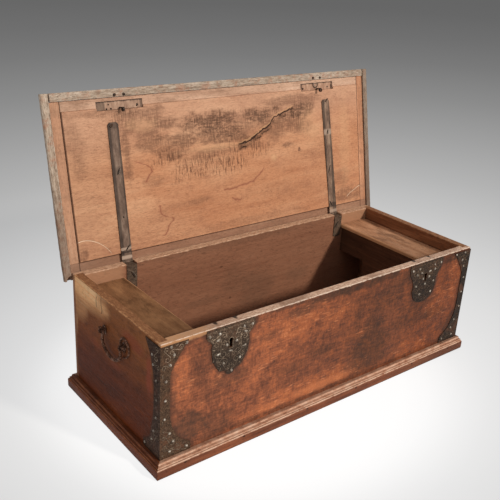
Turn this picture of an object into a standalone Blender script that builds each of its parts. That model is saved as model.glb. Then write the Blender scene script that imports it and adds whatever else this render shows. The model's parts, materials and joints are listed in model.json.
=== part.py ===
"""An old boarded trunk with its lid thrown open.

The carcass is four boards standing on a boarded bottom, inside a mitred and moulded plinth. The lid is a panel
with a proud field, framed by rails and end clamps and edged with mouldings whose lip drops round the rim. It
turns on two long strap hinges let through the back board's rim, and leans back until its rear edge meets the
back board. Two locks with pierced shields hold it shut: each bolt slides through a staple that hangs from the
lid. A till with a lid of its own stands at each end of the cavity, and an iron bail hangs on each end board.

The length runs along X, the front faces -Y and the trunk stands on Z = 0. All sizes are in metres.
"""
import math

import bmesh
import bpy
from mathutils import Matrix, Vector

# Fits that every piece shares
FIT_GAP = 0.0003
OVERRUN = 0.006
ROUND_SIDES = 24

# Carcass boards
CARCASS_LENGTH = 1.200
CARCASS_DEPTH = 0.480
RIM_HEIGHT = 0.383
WALL_THICKNESS = 0.026
END_THICKNESS = 0.026
REBATE_LIP = 0.012
BOARD_ARRIS = 0.0012

# Bottom boards, nailed up under the walls
BOTTOM_THICKNESS = 0.018
BOTTOM_RAISE = 0.004
BOTTOM_BOARDS = ("front", "middle", "rear")

# Plinth, with its section as shares of the projection and the height
PLINTH_PROJECTION = 0.020
PLINTH_HEIGHT = 0.045
PLINTH_SECTION_SHARES = (
    (0.00, 0.00), (0.86, 0.00), (0.96, 0.04), (1.00, 0.13), (1.00, 0.58), (0.95, 0.65), (0.84, 0.69),
    (0.80, 0.71), (0.80, 0.79), (0.56, 0.83), (0.56, 0.92), (0.48, 1.00), (0.00, 1.00),
)

# Lid body: a panel whose field stands proud, between rails and clamps
LID_OPEN_DEGREES = 101.5
LID_THICKNESS = 0.015
LID_EDGE_PLAY = 0.002
LID_ARRIS = 0.0008
FIELD_DROP = 0.003
FIELD_PLAY = 0.001

# Lid mouldings, with their section as shares of the width and the height, from the lip up
MOULDING_WIDTH = 0.0245
MOULDING_LIP_DROP = 0.006
MOULDING_SECTION_SHARES = (
    (0.00, 0.00), (0.80, 0.00), (0.93, 0.07), (1.00, 0.22), (1.00, 0.55), (0.95, 0.72), (0.83, 0.87),
    (0.64, 0.96), (0.42, 1.00), (0.00, 1.00),
)
SCOOP_RADIUS = 0.015
SCOOP_DEPTH = 0.007

# Strap hinges: two knuckles on the leaf, one on the strap, and a loose pin
LEFT_HINGE_INSET = 0.177
RIGHT_HINGE_INSET = 0.173
LEFT_STRAP_SLANT = 0.002
RIGHT_STRAP_SLANT = -0.015
HINGE_PIVOT_DROP = 0.004
KNUCKLE_RADIUS = 0.004
PIN_RADIUS = 0.0015
PIN_PLAY = 0.0001
PIN_STANDOUT = 0.0005
STRAP_WIDTH = 0.034
STRAP_THICKNESS = 0.0025
STRAP_END_MARGIN = 0.041
STRAP_END_CORNER = 0.006
LEAF_THICKNESS = 0.0025
LEAF_LENGTH = 0.076
LEAF_CORNER = 0.004
HOUSING_PLAY = 0.001
LID_POCKET_PLAY = 0.009
LID_POCKET_DEPTH = 0.0035

# Locks: where each stands, and its shield on the front board
LEFT_LOCK_INSET = 0.210
RIGHT_LOCK_INSET = 0.221
SHIELD_DROP = 0.0025
SHIELD_WIDTH = 0.156
LEFT_SHIELD_HEIGHT = 0.148
RIGHT_SHIELD_HEIGHT = 0.141
SHIELD_THICKNESS = 0.0016
LEFT_SHIELD_SHARES = (
    (0.975, 0.000), (0.985, 0.054), (1.000, 0.135), (0.925, 0.196), (0.820, 0.240), (0.755, 0.297),
    (0.780, 0.365), (0.775, 0.446), (0.745, 0.541), (0.720, 0.622), (0.655, 0.696), (0.590, 0.757),
    (0.525, 0.811), (0.450, 0.865), (0.370, 0.885), (0.205, 0.905), (0.160, 0.939), (0.140, 0.973),
)
RIGHT_SHIELD_SHARES = (
    (0.975, 0.000), (1.000, 0.100), (0.985, 0.170), (0.950, 0.227), (0.900, 0.284), (0.815, 0.348),
    (0.760, 0.411), (0.725, 0.461), (0.705, 0.532), (0.710, 0.638), (0.690, 0.730), (0.630, 0.816),
    (0.560, 0.872), (0.460, 0.922), (0.350, 0.957), (0.180, 0.993),
)
KEYHOLE_DROP = 0.042
KEYHOLE_HEIGHT = 0.028
KEYHOLE_HEAD_RADIUS = 0.0062
KEYHOLE_SLOT_WIDTH = 0.0088

# Lock case: a thin box open towards the front board, with ribs that guide the bolt
CASE_LENGTH = 0.108
CASE_HEIGHT = 0.075
CASE_DEPTH = 0.0165
CASE_DROP = 0.011
CASE_WALL = 0.002
CASE_RIB = 0.003
STAPLE_BAY_WIDTH = 0.010
TAIL_BAY_WIDTH = 0.014
BOLT_WIDTH = 0.0046
BOLT_PLAY = 0.0002
BOLT_REST_CLEARANCE = 0.0005
TALON_LENGTH = 0.012
TALON_HEIGHT = 0.010

# Link plate let into the lid, and the staple that hangs from it into the lock case
LINK_PLATE_LENGTH = 0.148
LINK_PLATE_WIDTH = 0.024
LINK_PLATE_THICKNESS = 0.003
LINK_PLATE_SETBACK = 0.009
LINK_PLATE_PLAY = 0.0010
LINK_PLATE_SINK = 0.0015
STAPLE_THICKNESS = 0.005
STAPLE_SHANK_WIDTH = 0.0044
STAPLE_RING_RADIUS = 0.0065
STAPLE_HOLE_RADIUS = 0.0036
STAPLE_REACH = 0.0185
STAPLE_CLEARANCE = 0.001

# Small nicks in the front rim's inner edge, either side of each lock
NICK_SPACING = 0.068
NICK_WIDTH = 0.005
NICK_DEPTH = 0.004
NICK_HEIGHT = 0.006

# Corner irons, with each wing's edge as shares of its width and height, from the top down
IRON_THICKNESS = 0.0016
IRON_DROP = 0.007
IRON_FRONT_WIDTH = 0.092
IRON_SIDE_WIDTH = 0.080
IRON_FRONT_SHARES = (
    (0.87, 1.000), (0.83, 0.988), (0.67, 0.929), (0.54, 0.876), (0.42, 0.830), (0.38, 0.797), (0.30, 0.768),
    (0.285, 0.700), (0.285, 0.400), (0.325, 0.320), (0.36, 0.283), (0.45, 0.225), (0.50, 0.196), (0.545, 0.174),
    (0.62, 0.142), (0.80, 0.104), (0.98, 0.070), (1.00, 0.040), (1.00, 0.000),
)
IRON_SIDE_SHARES = (
    (0.86, 1.000), (0.84, 0.985), (0.66, 0.919), (0.53, 0.862), (0.465, 0.797), (0.385, 0.720), (0.365, 0.640),
    (0.365, 0.430), (0.41, 0.347), (0.51, 0.219), (0.605, 0.140), (0.80, 0.095), (1.00, 0.062), (1.00, 0.000),
)

# Tills, one at each end of the cavity
TILL_WIDTH = 0.124
TILL_LID_DROP = 0.040
TILL_LID_THICKNESS = 0.012
TILL_LID_PLAY = 0.001
TILL_WALL_THICKNESS = 0.012
TILL_NOSING = 0.004
TILL_FLOOR_DROP = 0.131
TILL_FLOOR_THICKNESS = 0.012
TILL_ARRIS = 0.0008
TILL_PIVOT_INSET = 0.010
TILL_EDGE_PLAY = 0.0015
PINTLE_RADIUS = 0.004
PINTLE_LENGTH = 0.009
PINTLE_PLAY = 0.0001
DOORWAY_DEPTH = 0.119

# Bail handles on the end boards
HANDLE_DROP = 0.090
HANDLE_SETBACK = -0.0075
BAIL_SPREAD = 0.092
BAIL_FALL = 0.059
BAIL_RADIUS = 0.0046
BAIL_END_SHARE = 0.88
BAIL_BEND = 0.006
BAIL_TIP = 0.006
BAIL_SIDE_SHARES = ((1.08, 0.28), (1.09, 0.46), (1.00, 0.64), (0.79, 0.81), (0.48, 0.94), (0.16, 0.995))
BAIL_STEPS = 4
EYE_RADIUS = 0.0074
EYE_WIRE_RADIUS = 0.0026
EYE_SEAT = 0.0004
ROSE_WIDTH = 0.022
ROSE_HEIGHT = 0.027
ROSE_SAG = 0.001
ROSE_THICKNESS = 0.002

# Colours, roughness and metal share of each finish
OLD_WOOD = ((0.200, 0.075, 0.035), 0.55, 0.0)
PALE_WOOD = ((0.330, 0.170, 0.085), 0.60, 0.0)
LID_WOOD = ((0.420, 0.210, 0.110), 0.60, 0.0)
WEATHERED_WOOD = ((0.200, 0.140, 0.100), 0.75, 0.0)
WROUGHT_IRON = ((0.050, 0.043, 0.038), 0.55, 0.9)
WORN_IRON = ((0.180, 0.150, 0.125), 0.60, 0.6)

# Places worked out from the sizes above
END_X = CARCASS_LENGTH / 2
INNER_X = END_X - END_THICKNESS
FACE_Y = CARCASS_DEPTH / 2
INNER_Y = FACE_Y - WALL_THICKNESS
FLOOR_Z = BOTTOM_RAISE + BOTTOM_THICKNESS
WALL_FOOT_Z = FLOOR_Z + FIT_GAP
PIVOT_Z = RIM_HEIGHT - HINGE_PIVOT_DROP
LID_SEAT = RIM_HEIGHT + FIT_GAP - PIVOT_Z
OPEN_ANGLE = math.radians(LID_OPEN_DEGREES)
REAR_OVERHANG = (LID_SEAT * math.sin(OPEN_ANGLE) - FIT_GAP) / -math.cos(OPEN_ANGLE)
BODY_X = END_X + LID_EDGE_PLAY
BODY_FRONT = CARCASS_DEPTH + LID_EDGE_PLAY
FIELD_X = INNER_X - FIELD_PLAY
FIELD_REAR = WALL_THICKNESS + FIELD_PLAY
FIELD_FRONT = CARCASS_DEPTH - WALL_THICKNESS - FIELD_PLAY
MOULDING_FRONT = BODY_FRONT + FIT_GAP + MOULDING_WIDTH
STAPLE_A = CARCASS_DEPTH - WALL_THICKNESS - STAPLE_CLEARANCE - STAPLE_RING_RADIUS
STAPLE_Y = FACE_Y - STAPLE_A
STAPLE_Z = RIM_HEIGHT + FIT_GAP - STAPLE_REACH
TILL_INNER_X = INNER_X - TILL_WIDTH
TILL_WALL_X = TILL_INNER_X + TILL_NOSING
TILL_LID_TOP = RIM_HEIGHT - TILL_LID_DROP
TILL_PIVOT_X = INNER_X - TILL_PIVOT_INSET
TILL_PIVOT_Z = TILL_LID_TOP - TILL_LID_THICKNESS / 2
TILL_FLOOR_Z = RIM_HEIGHT - TILL_FLOOR_DROP
TILL_UNDERSIDE_Z = TILL_FLOOR_Z - TILL_FLOOR_THICKNESS
EYE_X = END_X + FIT_GAP + EYE_SEAT + EYE_WIRE_RADIUS + EYE_RADIUS
EYE_Z = RIM_HEIGHT - HANDLE_DROP
EYE_Y = BAIL_SPREAD / 2 + BAIL_BEND + EYE_WIRE_RADIUS

# The open lid reaches behind the carcass, so the trunk is set forward to stand centred on the origin
LID_REACH_Y = FACE_Y - MOULDING_FRONT * math.cos(OPEN_ANGLE) + (LID_SEAT + LID_THICKNESS) * math.sin(OPEN_ANGLE)
PLINTH_REACH_Y = FACE_Y + FIT_GAP + PLINTH_PROJECTION
CENTRING_Y = (PLINTH_REACH_Y - LID_REACH_Y) / 2

SIDES = (("left", -1), ("right", 1))
LOCKS = (("left", LEFT_LOCK_INSET - END_X), ("right", END_X - RIGHT_LOCK_INSET))
SHIELDS = {
    "left": (LEFT_SHIELD_HEIGHT, LEFT_SHIELD_SHARES),
    "right": (RIGHT_SHIELD_HEIGHT, RIGHT_SHIELD_SHARES),
}
HINGES = (
    ("left", LEFT_HINGE_INSET - END_X, LEFT_STRAP_SLANT),
    ("right", END_X - RIGHT_HINGE_INSET, RIGHT_STRAP_SLANT),
)

FRONT_VIEW = Matrix(((1, 0, 0, 0), (0, 0, -1, 0), (0, 1, 0, 0), (0, 0, 0, 1)))
END_VIEW = Matrix(((0, 0, 1, 0), (1, 0, 0, 0), (0, 1, 0, 0), (0, 0, 0, 1)))
PLAN_VIEW = Matrix.Identity(4)


def clear_scene():
    """Empty the file of everything it opened with."""
    for thing in list(bpy.data.objects):
        bpy.data.objects.remove(thing, do_unlink=True)


def new_collection(name):
    """A collection linked into the scene."""
    collection = bpy.data.collections.new(name)
    bpy.context.scene.collection.children.link(collection)
    return collection


clear_scene()
PARTS = new_collection("wooden_trunk")
CUTTERS = new_collection("cutters")


def axis_empty(name, place, parent=None, tilt=0.0):
    """An empty that pieces hang from, turned about X by the tilt."""
    empty = bpy.data.objects.new(name, None)
    PARTS.objects.link(empty)
    empty.parent = parent
    empty.location = place
    empty.rotation_euler = (tilt, 0.0, 0.0)
    return empty


TRUNK = axis_empty("trunk_origin", (0.0, CENTRING_Y, 0.0))
LID_AXIS = axis_empty("lid_hinge_axis", (0.0, FACE_Y, PIVOT_Z), TRUNK, -OPEN_ANGLE)


def finish_material(name, finish):
    """A piece's own Principled material."""
    colour, roughness, metal = finish
    material = bpy.data.materials.new(name + "_finish")
    material.use_nodes = True
    shader = material.node_tree.nodes["Principled BSDF"]
    shader.inputs["Base Color"].default_value = (*colour, 1.0)
    shader.inputs["Roughness"].default_value = roughness
    shader.inputs["Metallic"].default_value = metal
    material.diffuse_color = (*colour, 1.0)
    return material


def add_piece(name, mesh, origin, finish, parent=TRUNK):
    """Link a mesh, built in its parent's frame, as a piece whose own origin is the given point."""
    mesh.transform(Matrix.Translation(-Vector(origin)))
    piece = bpy.data.objects.new(name, mesh)
    PARTS.objects.link(piece)
    piece.parent = parent
    piece.location = origin
    if finish:
        mesh.materials.append(finish_material(name, finish))
    return piece


def as_tool(piece):
    """Turn a piece into a hidden tool for a Boolean."""
    PARTS.objects.unlink(piece)
    CUTTERS.objects.link(piece)
    piece.hide_render = True
    piece.display_type = "WIRE"
    return piece


def add_tool(name, mesh, parent=TRUNK):
    """A hidden tool in its parent's frame."""
    return as_tool(add_piece(name, mesh, (0.0, 0.0, 0.0), None, parent))


def combine(piece, tool, operation):
    """Cut the piece by the tool, or fuse the tool to it."""
    step = piece.modifiers.new(tool.name, "BOOLEAN")
    step.operation = operation
    step.object = tool


def cut(piece, *tools):
    """Cut the piece by each tool."""
    for tool in tools:
        combine(piece, tool, "DIFFERENCE")


def fuse(piece, *tools):
    """Fuse each tool to the piece as one body."""
    for tool in tools:
        combine(piece, tool, "UNION")


def soften(piece, width, segments=1):
    """Take the arrises off a piece."""
    step = piece.modifiers.new("arris", "BEVEL")
    step.width = width
    step.segments = segments
    step.limit_method = "ANGLE"


def shade_round(mesh):
    """Shade the curved faces smooth and keep the arrises sharp."""
    mesh.shade_smooth()
    mesh.set_sharp_from_angle(angle=math.radians(35))


def box_mesh(low, high):
    """A block between two corners."""
    size = Vector(high) - Vector(low)
    centre = (Vector(high) + Vector(low)) / 2
    shape = bmesh.new()
    bmesh.ops.create_cube(shape, size=1.0)
    bmesh.ops.scale(shape, vec=size, verts=shape.verts)
    bmesh.ops.translate(shape, vec=centre, verts=shape.verts)
    mesh = bpy.data.meshes.new("block")
    shape.to_mesh(mesh)
    shape.free()
    return mesh


def rod_mesh(radius, start, end, sides=ROUND_SIDES):
    """A round rod between two points."""
    along = Vector(end) - Vector(start)
    turn = Vector((0.0, 0.0, 1.0)).rotation_difference(along).to_matrix().to_4x4()
    shape = bmesh.new()
    bmesh.ops.create_cone(
        shape, cap_ends=True, segments=sides, radius1=radius, radius2=radius, depth=along.length, matrix=turn
    )
    bmesh.ops.translate(shape, vec=(Vector(start) + Vector(end)) / 2, verts=shape.verts)
    mesh = bpy.data.meshes.new("rod")
    shape.to_mesh(mesh)
    shape.free()
    shade_round(mesh)
    return mesh


def mesh_of_curve(curve, view):
    """The welded mesh of a filled or bevelled curve, turned to the view it was drawn in."""
    holder = bpy.data.objects.new("outline", curve)
    bpy.context.scene.collection.objects.link(holder)
    graph = bpy.context.evaluated_depsgraph_get()
    mesh = bpy.data.meshes.new_from_object(holder.evaluated_get(graph))
    bpy.data.objects.remove(holder, do_unlink=True)
    shape = bmesh.new()
    shape.from_mesh(mesh)
    bmesh.ops.remove_doubles(shape, verts=shape.verts, dist=FIT_GAP / ROUND_SIDES)
    bmesh.ops.recalc_face_normals(shape, faces=shape.faces)
    bmesh.ops.transform(shape, matrix=view, verts=shape.verts)
    shape.to_mesh(mesh)
    shape.free()
    mesh.materials.clear()
    return mesh


def plate_mesh(outline, view, low, high):
    """A flat outline given thickness: it fills from low to high, square to the view it is drawn in."""
    curve = bpy.data.curves.new("outline", "CURVE")
    curve.dimensions = "2D"
    curve.fill_mode = "BOTH"
    curve.extrude = (high - low) / 2
    spline = curve.splines.new("POLY")
    spline.points.add(len(outline) - 1)
    for point, place in zip(spline.points, outline):
        point.co = (*place, 0.0, 1.0)
    spline.use_cyclic_u = True
    mesh = mesh_of_curve(curve, view)
    across = view.to_3x3() @ Vector((0.0, 0.0, 1.0))
    middle = Vector(abs(value) for value in across) * ((high + low) / 2)
    mesh.transform(Matrix.Translation(middle))
    return mesh


def circle_points(centre, radius, start=0.0, sweep=360.0, steps=ROUND_SIDES):
    """Points on an arc; a full circle leaves out the repeated last point."""
    count = steps if sweep == 360.0 else steps + 1
    points = []
    for index in range(count):
        angle = math.radians(start + sweep * index / steps)
        points.append((centre[0] + radius * math.cos(angle), centre[1] + radius * math.sin(angle)))
    return points


def board(name, low, high, finish, parent=TRUNK, arris=BOARD_ARRIS):
    """A sawn board between two corners, its origin at its middle."""
    centre = (Vector(high) + Vector(low)) / 2
    piece = add_piece(name, box_mesh(low, high), centre, finish, parent)
    soften(piece, arris)
    return piece


def lid_low_high(x_span, a_span, o_span):
    """Corners of a block in the lid's frame: a runs from the back face forward, o drops from the rim plane."""
    low = (x_span[0], -a_span[1], LID_SEAT - o_span[1])
    high = (x_span[1], -a_span[0], LID_SEAT - o_span[0])
    return low, high


def lid_board(name, x_span, a_span, o_span, finish):
    """A board of the lid, hanging from the hinge axis."""
    low, high = lid_low_high(x_span, a_span, o_span)
    return board(name, low, high, finish, LID_AXIS, LID_ARRIS)


def lid_tool(name, x_span, a_span, o_span):
    """A block that cuts the lid's boards."""
    low, high = lid_low_high(x_span, a_span, o_span)
    return add_tool(name, box_mesh(low, high), LID_AXIS)


def build_front_board():
    """Front board, rebated at both ends, bored for the keys and the till pins."""
    piece = board("front_board", (-END_X, -FACE_Y, WALL_FOOT_Z), (END_X, -INNER_Y, RIM_HEIGHT), OLD_WOOD)
    cut(piece, *rebate_tools("front", -1))
    cut(piece, *pintle_tools("front", -1))
    for side, lock_x in LOCKS:
        cut(piece, keyhole_tool(side, lock_x))
        cut(piece, nick_tool(side, lock_x))
    return piece


def build_back_board():
    """Back board, rebated at both ends, housed at the rim for the hinges and bored for the till pins."""
    piece = board("back_board", (-END_X, INNER_Y, WALL_FOOT_Z), (END_X, FACE_Y, RIM_HEIGHT), OLD_WOOD)
    cut(piece, *rebate_tools("back", 1))
    cut(piece, *pintle_tools("back", 1))
    for side, hinge_x, _ in HINGES:
        reach = STRAP_WIDTH / 2 + HOUSING_PLAY
        low = (hinge_x - reach, INNER_Y - OVERRUN, leaf_underside() - FIT_GAP)
        high = (hinge_x + reach, FACE_Y + OVERRUN, RIM_HEIGHT + OVERRUN)
        cut(piece, add_tool("hinge_housing_" + side, box_mesh(low, high)))
    return piece


def rebate_tools(name, face):
    """Blocks that rebate a long board's ends so that it laps the end boards."""
    tools = []
    for side, sign in SIDES:
        x_span = sorted((sign * (INNER_X - FIT_GAP), sign * (END_X + OVERRUN)))
        y_span = sorted((face * (INNER_Y - OVERRUN), face * (FACE_Y - REBATE_LIP)))
        low = (x_span[0], y_span[0], WALL_FOOT_Z - OVERRUN)
        high = (x_span[1], y_span[1], RIM_HEIGHT + OVERRUN)
        tools.append(add_tool(f"rebate_{name}_{side}", box_mesh(low, high)))
    return tools


def pintle_tools(name, face):
    """Blind holes for the wooden pins that the till lids turn on."""
    tools = []
    depth = PINTLE_LENGTH + TILL_LID_PLAY
    for side, sign in SIDES:
        start = (sign * TILL_PIVOT_X, face * (INNER_Y - OVERRUN), TILL_PIVOT_Z)
        end = (sign * TILL_PIVOT_X, face * (INNER_Y + depth), TILL_PIVOT_Z)
        tools.append(add_tool(f"pintle_hole_{name}_{side}", rod_mesh(PINTLE_RADIUS + PINTLE_PLAY, start, end)))
    return tools


def nick_tool(side, lock_x):
    """Two small nicks in the rim's inner edge, beside a lock."""
    shape = bmesh.new()
    for sign in (-1, 1):
        centre = lock_x + sign * NICK_SPACING / 2
        low = (centre - NICK_WIDTH / 2, -INNER_Y - NICK_DEPTH, RIM_HEIGHT - NICK_HEIGHT)
        high = (centre + NICK_WIDTH / 2, -INNER_Y + OVERRUN, RIM_HEIGHT + OVERRUN)
        shape.from_mesh(box_mesh(low, high))
    mesh = bpy.data.meshes.new("nicks")
    shape.to_mesh(mesh)
    shape.free()
    return add_tool("rim_nicks_" + side, mesh)


def build_end_boards():
    """End boards, held between the rebates of the long boards."""
    reach = FACE_Y - REBATE_LIP - FIT_GAP
    for side, sign in SIDES:
        x_span = sorted((sign * INNER_X, sign * END_X))
        low = (x_span[0], -reach, WALL_FOOT_Z)
        high = (x_span[1], reach, RIM_HEIGHT)
        board(side + "_end_board", low, high, OLD_WOOD)


def build_bottom():
    """Three boards run the length of the carcass, nailed up under its walls."""
    width = (CARCASS_DEPTH - FIT_GAP * (len(BOTTOM_BOARDS) - 1)) / len(BOTTOM_BOARDS)
    for index, place in enumerate(BOTTOM_BOARDS):
        front = -FACE_Y + index * (width + FIT_GAP)
        low = (-END_X, front, BOTTOM_RAISE)
        high = (END_X, front + width, FLOOR_Z)
        board("bottom_board_" + place, low, high, OLD_WOOD)


def plinth_section():
    """The plinth's section: how far each point stands out from the wall, and its height."""
    return [(out * PLINTH_PROJECTION, up * PLINTH_HEIGHT) for out, up in PLINTH_SECTION_SHARES]


def mitre_tool(name, x_sign, y_sign, keep_x):
    """A block with one face on a corner's mitre; it takes away what lies beyond for one of the two lengths."""
    corner = Vector((x_sign * (END_X + FIT_GAP), y_sign * (FACE_Y + FIT_GAP), PLINTH_HEIGHT / 2))
    beyond = Vector((x_sign, -y_sign, 0.0)) if keep_x else Vector((-x_sign, y_sign, 0.0))
    beyond.normalize()
    reach = PLINTH_PROJECTION * 2 + OVERRUN
    size = (reach * 2, reach * 2, PLINTH_HEIGHT + OVERRUN * 2)
    mesh = box_mesh(tuple(-value / 2 for value in size), tuple(value / 2 for value in size))
    mesh.transform(Matrix.Rotation(math.pi / 4, 4, "Z"))
    tool = add_tool(name, mesh)
    tool.location = corner + beyond * (reach - FIT_GAP / 2)
    return tool


def build_plinth():
    """Four moulded lengths, mitred at the corners, stand round the carcass and carry it."""
    section = plinth_section()
    for name, sign in (("front", -1), ("back", 1)):
        outline = [(sign * (FACE_Y + FIT_GAP + out), up) for out, up in section]
        reach = END_X + FIT_GAP + PLINTH_PROJECTION
        mesh = plate_mesh(outline, END_VIEW, -reach, reach)
        piece = add_piece("plinth_" + name, mesh, (0.0, sign * FACE_Y, 0.0), OLD_WOOD)
        for side, x_sign in SIDES:
            cut(piece, mitre_tool(f"mitre_{name}_{side}_long", x_sign, sign, True))
    for side, sign in SIDES:
        outline = [(sign * (END_X + FIT_GAP + out), up) for out, up in section]
        reach = FACE_Y + FIT_GAP + PLINTH_PROJECTION
        mesh = plate_mesh(outline, FRONT_VIEW, -reach, reach)
        piece = add_piece("plinth_" + side, mesh, (sign * END_X, 0.0, 0.0), OLD_WOOD)
        for name, y_sign in (("front", -1), ("back", 1)):
            cut(piece, mitre_tool(f"mitre_{name}_{side}_short", sign, y_sign, False))


def wing_outline(shares, width, start):
    """One wing of a corner iron, drawn from the corner outward."""
    foot = PLINTH_HEIGHT + FIT_GAP
    height = RIM_HEIGHT - IRON_DROP - foot
    edge = [(out * width, foot + up * height) for out, up in shares]
    return [(start, foot)] + [(start, foot + height)] + edge


def build_corner_irons():
    """Each front corner is clad by one iron, bent round it, with cut and flared wings."""
    inner = FACE_Y + FIT_GAP
    outer = inner + IRON_THICKNESS
    side_inner = END_X + FIT_GAP
    side_outer = side_inner + IRON_THICKNESS
    for side, sign in SIDES:
        front = wing_outline(IRON_FRONT_SHARES, IRON_FRONT_WIDTH, -FIT_GAP - IRON_THICKNESS)
        front = [(sign * (END_X - across), up) for across, up in front]
        mesh = plate_mesh(front, FRONT_VIEW, -outer, -inner)
        piece = add_piece("corner_iron_" + side, mesh, (sign * END_X, -FACE_Y, 0.0), WROUGHT_IRON)
        flank = wing_outline(IRON_SIDE_SHARES, IRON_SIDE_WIDTH, -FIT_GAP - IRON_THICKNESS / 2)
        flank = [(-FACE_Y + along, up) for along, up in flank]
        low, high = sorted((sign * side_inner, sign * side_outer))
        fuse(piece, add_tool("corner_iron_flank_" + side, plate_mesh(flank, END_VIEW, low, high)))


def keyhole_tool(side, lock_x):
    """A keyhole: a round head over a slot, through the shield and the front board."""
    head_z = RIM_HEIGHT - KEYHOLE_DROP - KEYHOLE_HEAD_RADIUS
    foot_z = RIM_HEIGHT - KEYHOLE_DROP - KEYHOLE_HEIGHT
    spread = math.degrees(math.asin(KEYHOLE_SLOT_WIDTH / 2 / KEYHOLE_HEAD_RADIUS))
    outline = circle_points((lock_x, head_z), KEYHOLE_HEAD_RADIUS, spread - 90, 360 - 2 * spread, ROUND_SIDES // 2)
    outline.append((lock_x - KEYHOLE_SLOT_WIDTH / 2, foot_z))
    outline.append((lock_x + KEYHOLE_SLOT_WIDTH / 2, foot_z))
    mesh = plate_mesh(outline, FRONT_VIEW, -FACE_Y - OVERRUN, -INNER_Y + OVERRUN)
    return add_tool("keyhole_" + side, mesh)


def build_shields():
    """Keyhole shields: a straight top, and a lobed outline that ends in a tip or a round foot."""
    top = RIM_HEIGHT - SHIELD_DROP
    for side, lock_x in LOCKS:
        height, shares = SHIELDS[side]
        half = [(across * SHIELD_WIDTH / 2, top - down * height) for across, down in shares]
        outline = [(lock_x + across, up) for across, up in half]
        outline.append((lock_x, top - height))
        outline += [(lock_x - across, up) for across, up in reversed(half)]
        outer = -FACE_Y - FIT_GAP - SHIELD_THICKNESS
        mesh = plate_mesh(outline, FRONT_VIEW, outer, -FACE_Y - FIT_GAP)
        piece = add_piece("escutcheon_" + side, mesh, (lock_x, -FACE_Y, top), WROUGHT_IRON)
        slot = bpy.data.objects["keyhole_" + side]
        cut(piece, slot)


def case_span():
    """The lock case's inner and outer faces along Y."""
    return -INNER_Y + FIT_GAP, -INNER_Y + FIT_GAP + CASE_DEPTH


def bay_edges():
    """Where each bay of the lock case starts and ends along X, from the lock's middle."""
    half = CASE_LENGTH / 2
    bay = STAPLE_BAY_WIDTH / 2
    tail = -half + CASE_WALL
    return (
        (tail, tail + TAIL_BAY_WIDTH),
        (tail + TAIL_BAY_WIDTH + CASE_RIB, -bay - CASE_RIB),
        (-bay, bay),
        (bay + CASE_RIB, half - CASE_WALL),
    )


def case_bays_mesh(lock_x):
    """The hollows of the lock case; the staple's bay also opens through the top."""
    near, far = case_span()
    top = RIM_HEIGHT - CASE_DROP
    shape = bmesh.new()
    for index, (start, end) in enumerate(bay_edges()):
        roof = top + OVERRUN if index == 2 else top - CASE_WALL
        low = (lock_x + start, near - OVERRUN, top - CASE_HEIGHT + CASE_WALL)
        high = (lock_x + end, far - CASE_WALL, roof)
        shape.from_mesh(box_mesh(low, high))
    mesh = bpy.data.meshes.new("bays")
    shape.to_mesh(mesh)
    shape.free()
    return mesh


def build_lock_cases():
    """Lock cases on the front board's inner face, with windows in the ribs for the bolt."""
    near, far = case_span()
    top = RIM_HEIGHT - CASE_DROP
    reach = BOLT_WIDTH / 2 + BOLT_PLAY
    half = CASE_LENGTH / 2
    for side, lock_x in LOCKS:
        low = (lock_x - half, near, top - CASE_HEIGHT)
        high = (lock_x + half, far, top)
        piece = add_piece("lock_case_" + side, box_mesh(low, high), (lock_x, near, top), WROUGHT_IRON)
        cut(piece, add_tool("case_bays_" + side, case_bays_mesh(lock_x)))
        start = lock_x + bay_edges()[0][1] - CASE_RIB / 2
        end = lock_x + bay_edges()[3][0] + CASE_RIB / 2
        low = (start, STAPLE_Y - reach, STAPLE_Z - reach)
        high = (end, STAPLE_Y + reach, STAPLE_Z + reach)
        cut(piece, add_tool("bolt_window_" + side, box_mesh(low, high)))


def build_lock_bolts():
    """Sliding bolts, drawn back at rest; the talon between the ribs is what the key pushes."""
    reach = BOLT_WIDTH / 2
    bays = bay_edges()
    for side, lock_x in LOCKS:
        tail = lock_x + bays[0][0] + BOLT_REST_CLEARANCE
        tip = lock_x + bays[2][0] - BOLT_REST_CLEARANCE
        low = (tail, STAPLE_Y - reach, STAPLE_Z - reach)
        high = (tip, STAPLE_Y + reach, STAPLE_Z + reach)
        piece = add_piece("lock_bolt_" + side, box_mesh(low, high), (tip, STAPLE_Y, STAPLE_Z), WORN_IRON)
        start = lock_x + bays[1][0] + BOLT_REST_CLEARANCE
        low = (start, STAPLE_Y - reach + BOLT_PLAY, STAPLE_Z - TALON_HEIGHT)
        high = (start + TALON_LENGTH, STAPLE_Y + reach - BOLT_PLAY, STAPLE_Z)
        fuse(piece, add_tool("talon_" + side, box_mesh(low, high)))


def leaf_top():
    """The leaf lies just under the strap where both cross the rim."""
    return PIVOT_Z + LID_SEAT - FIELD_DROP - FIT_GAP - STRAP_THICKNESS - FIT_GAP


def leaf_underside():
    """The lower face of the leaf where it crosses the rim."""
    return leaf_top() - LEAF_THICKNESS


def knuckle_gap():
    """What one knuckle's plate keeps clear of the other knuckles."""
    return KNUCKLE_RADIUS + FIT_GAP


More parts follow.
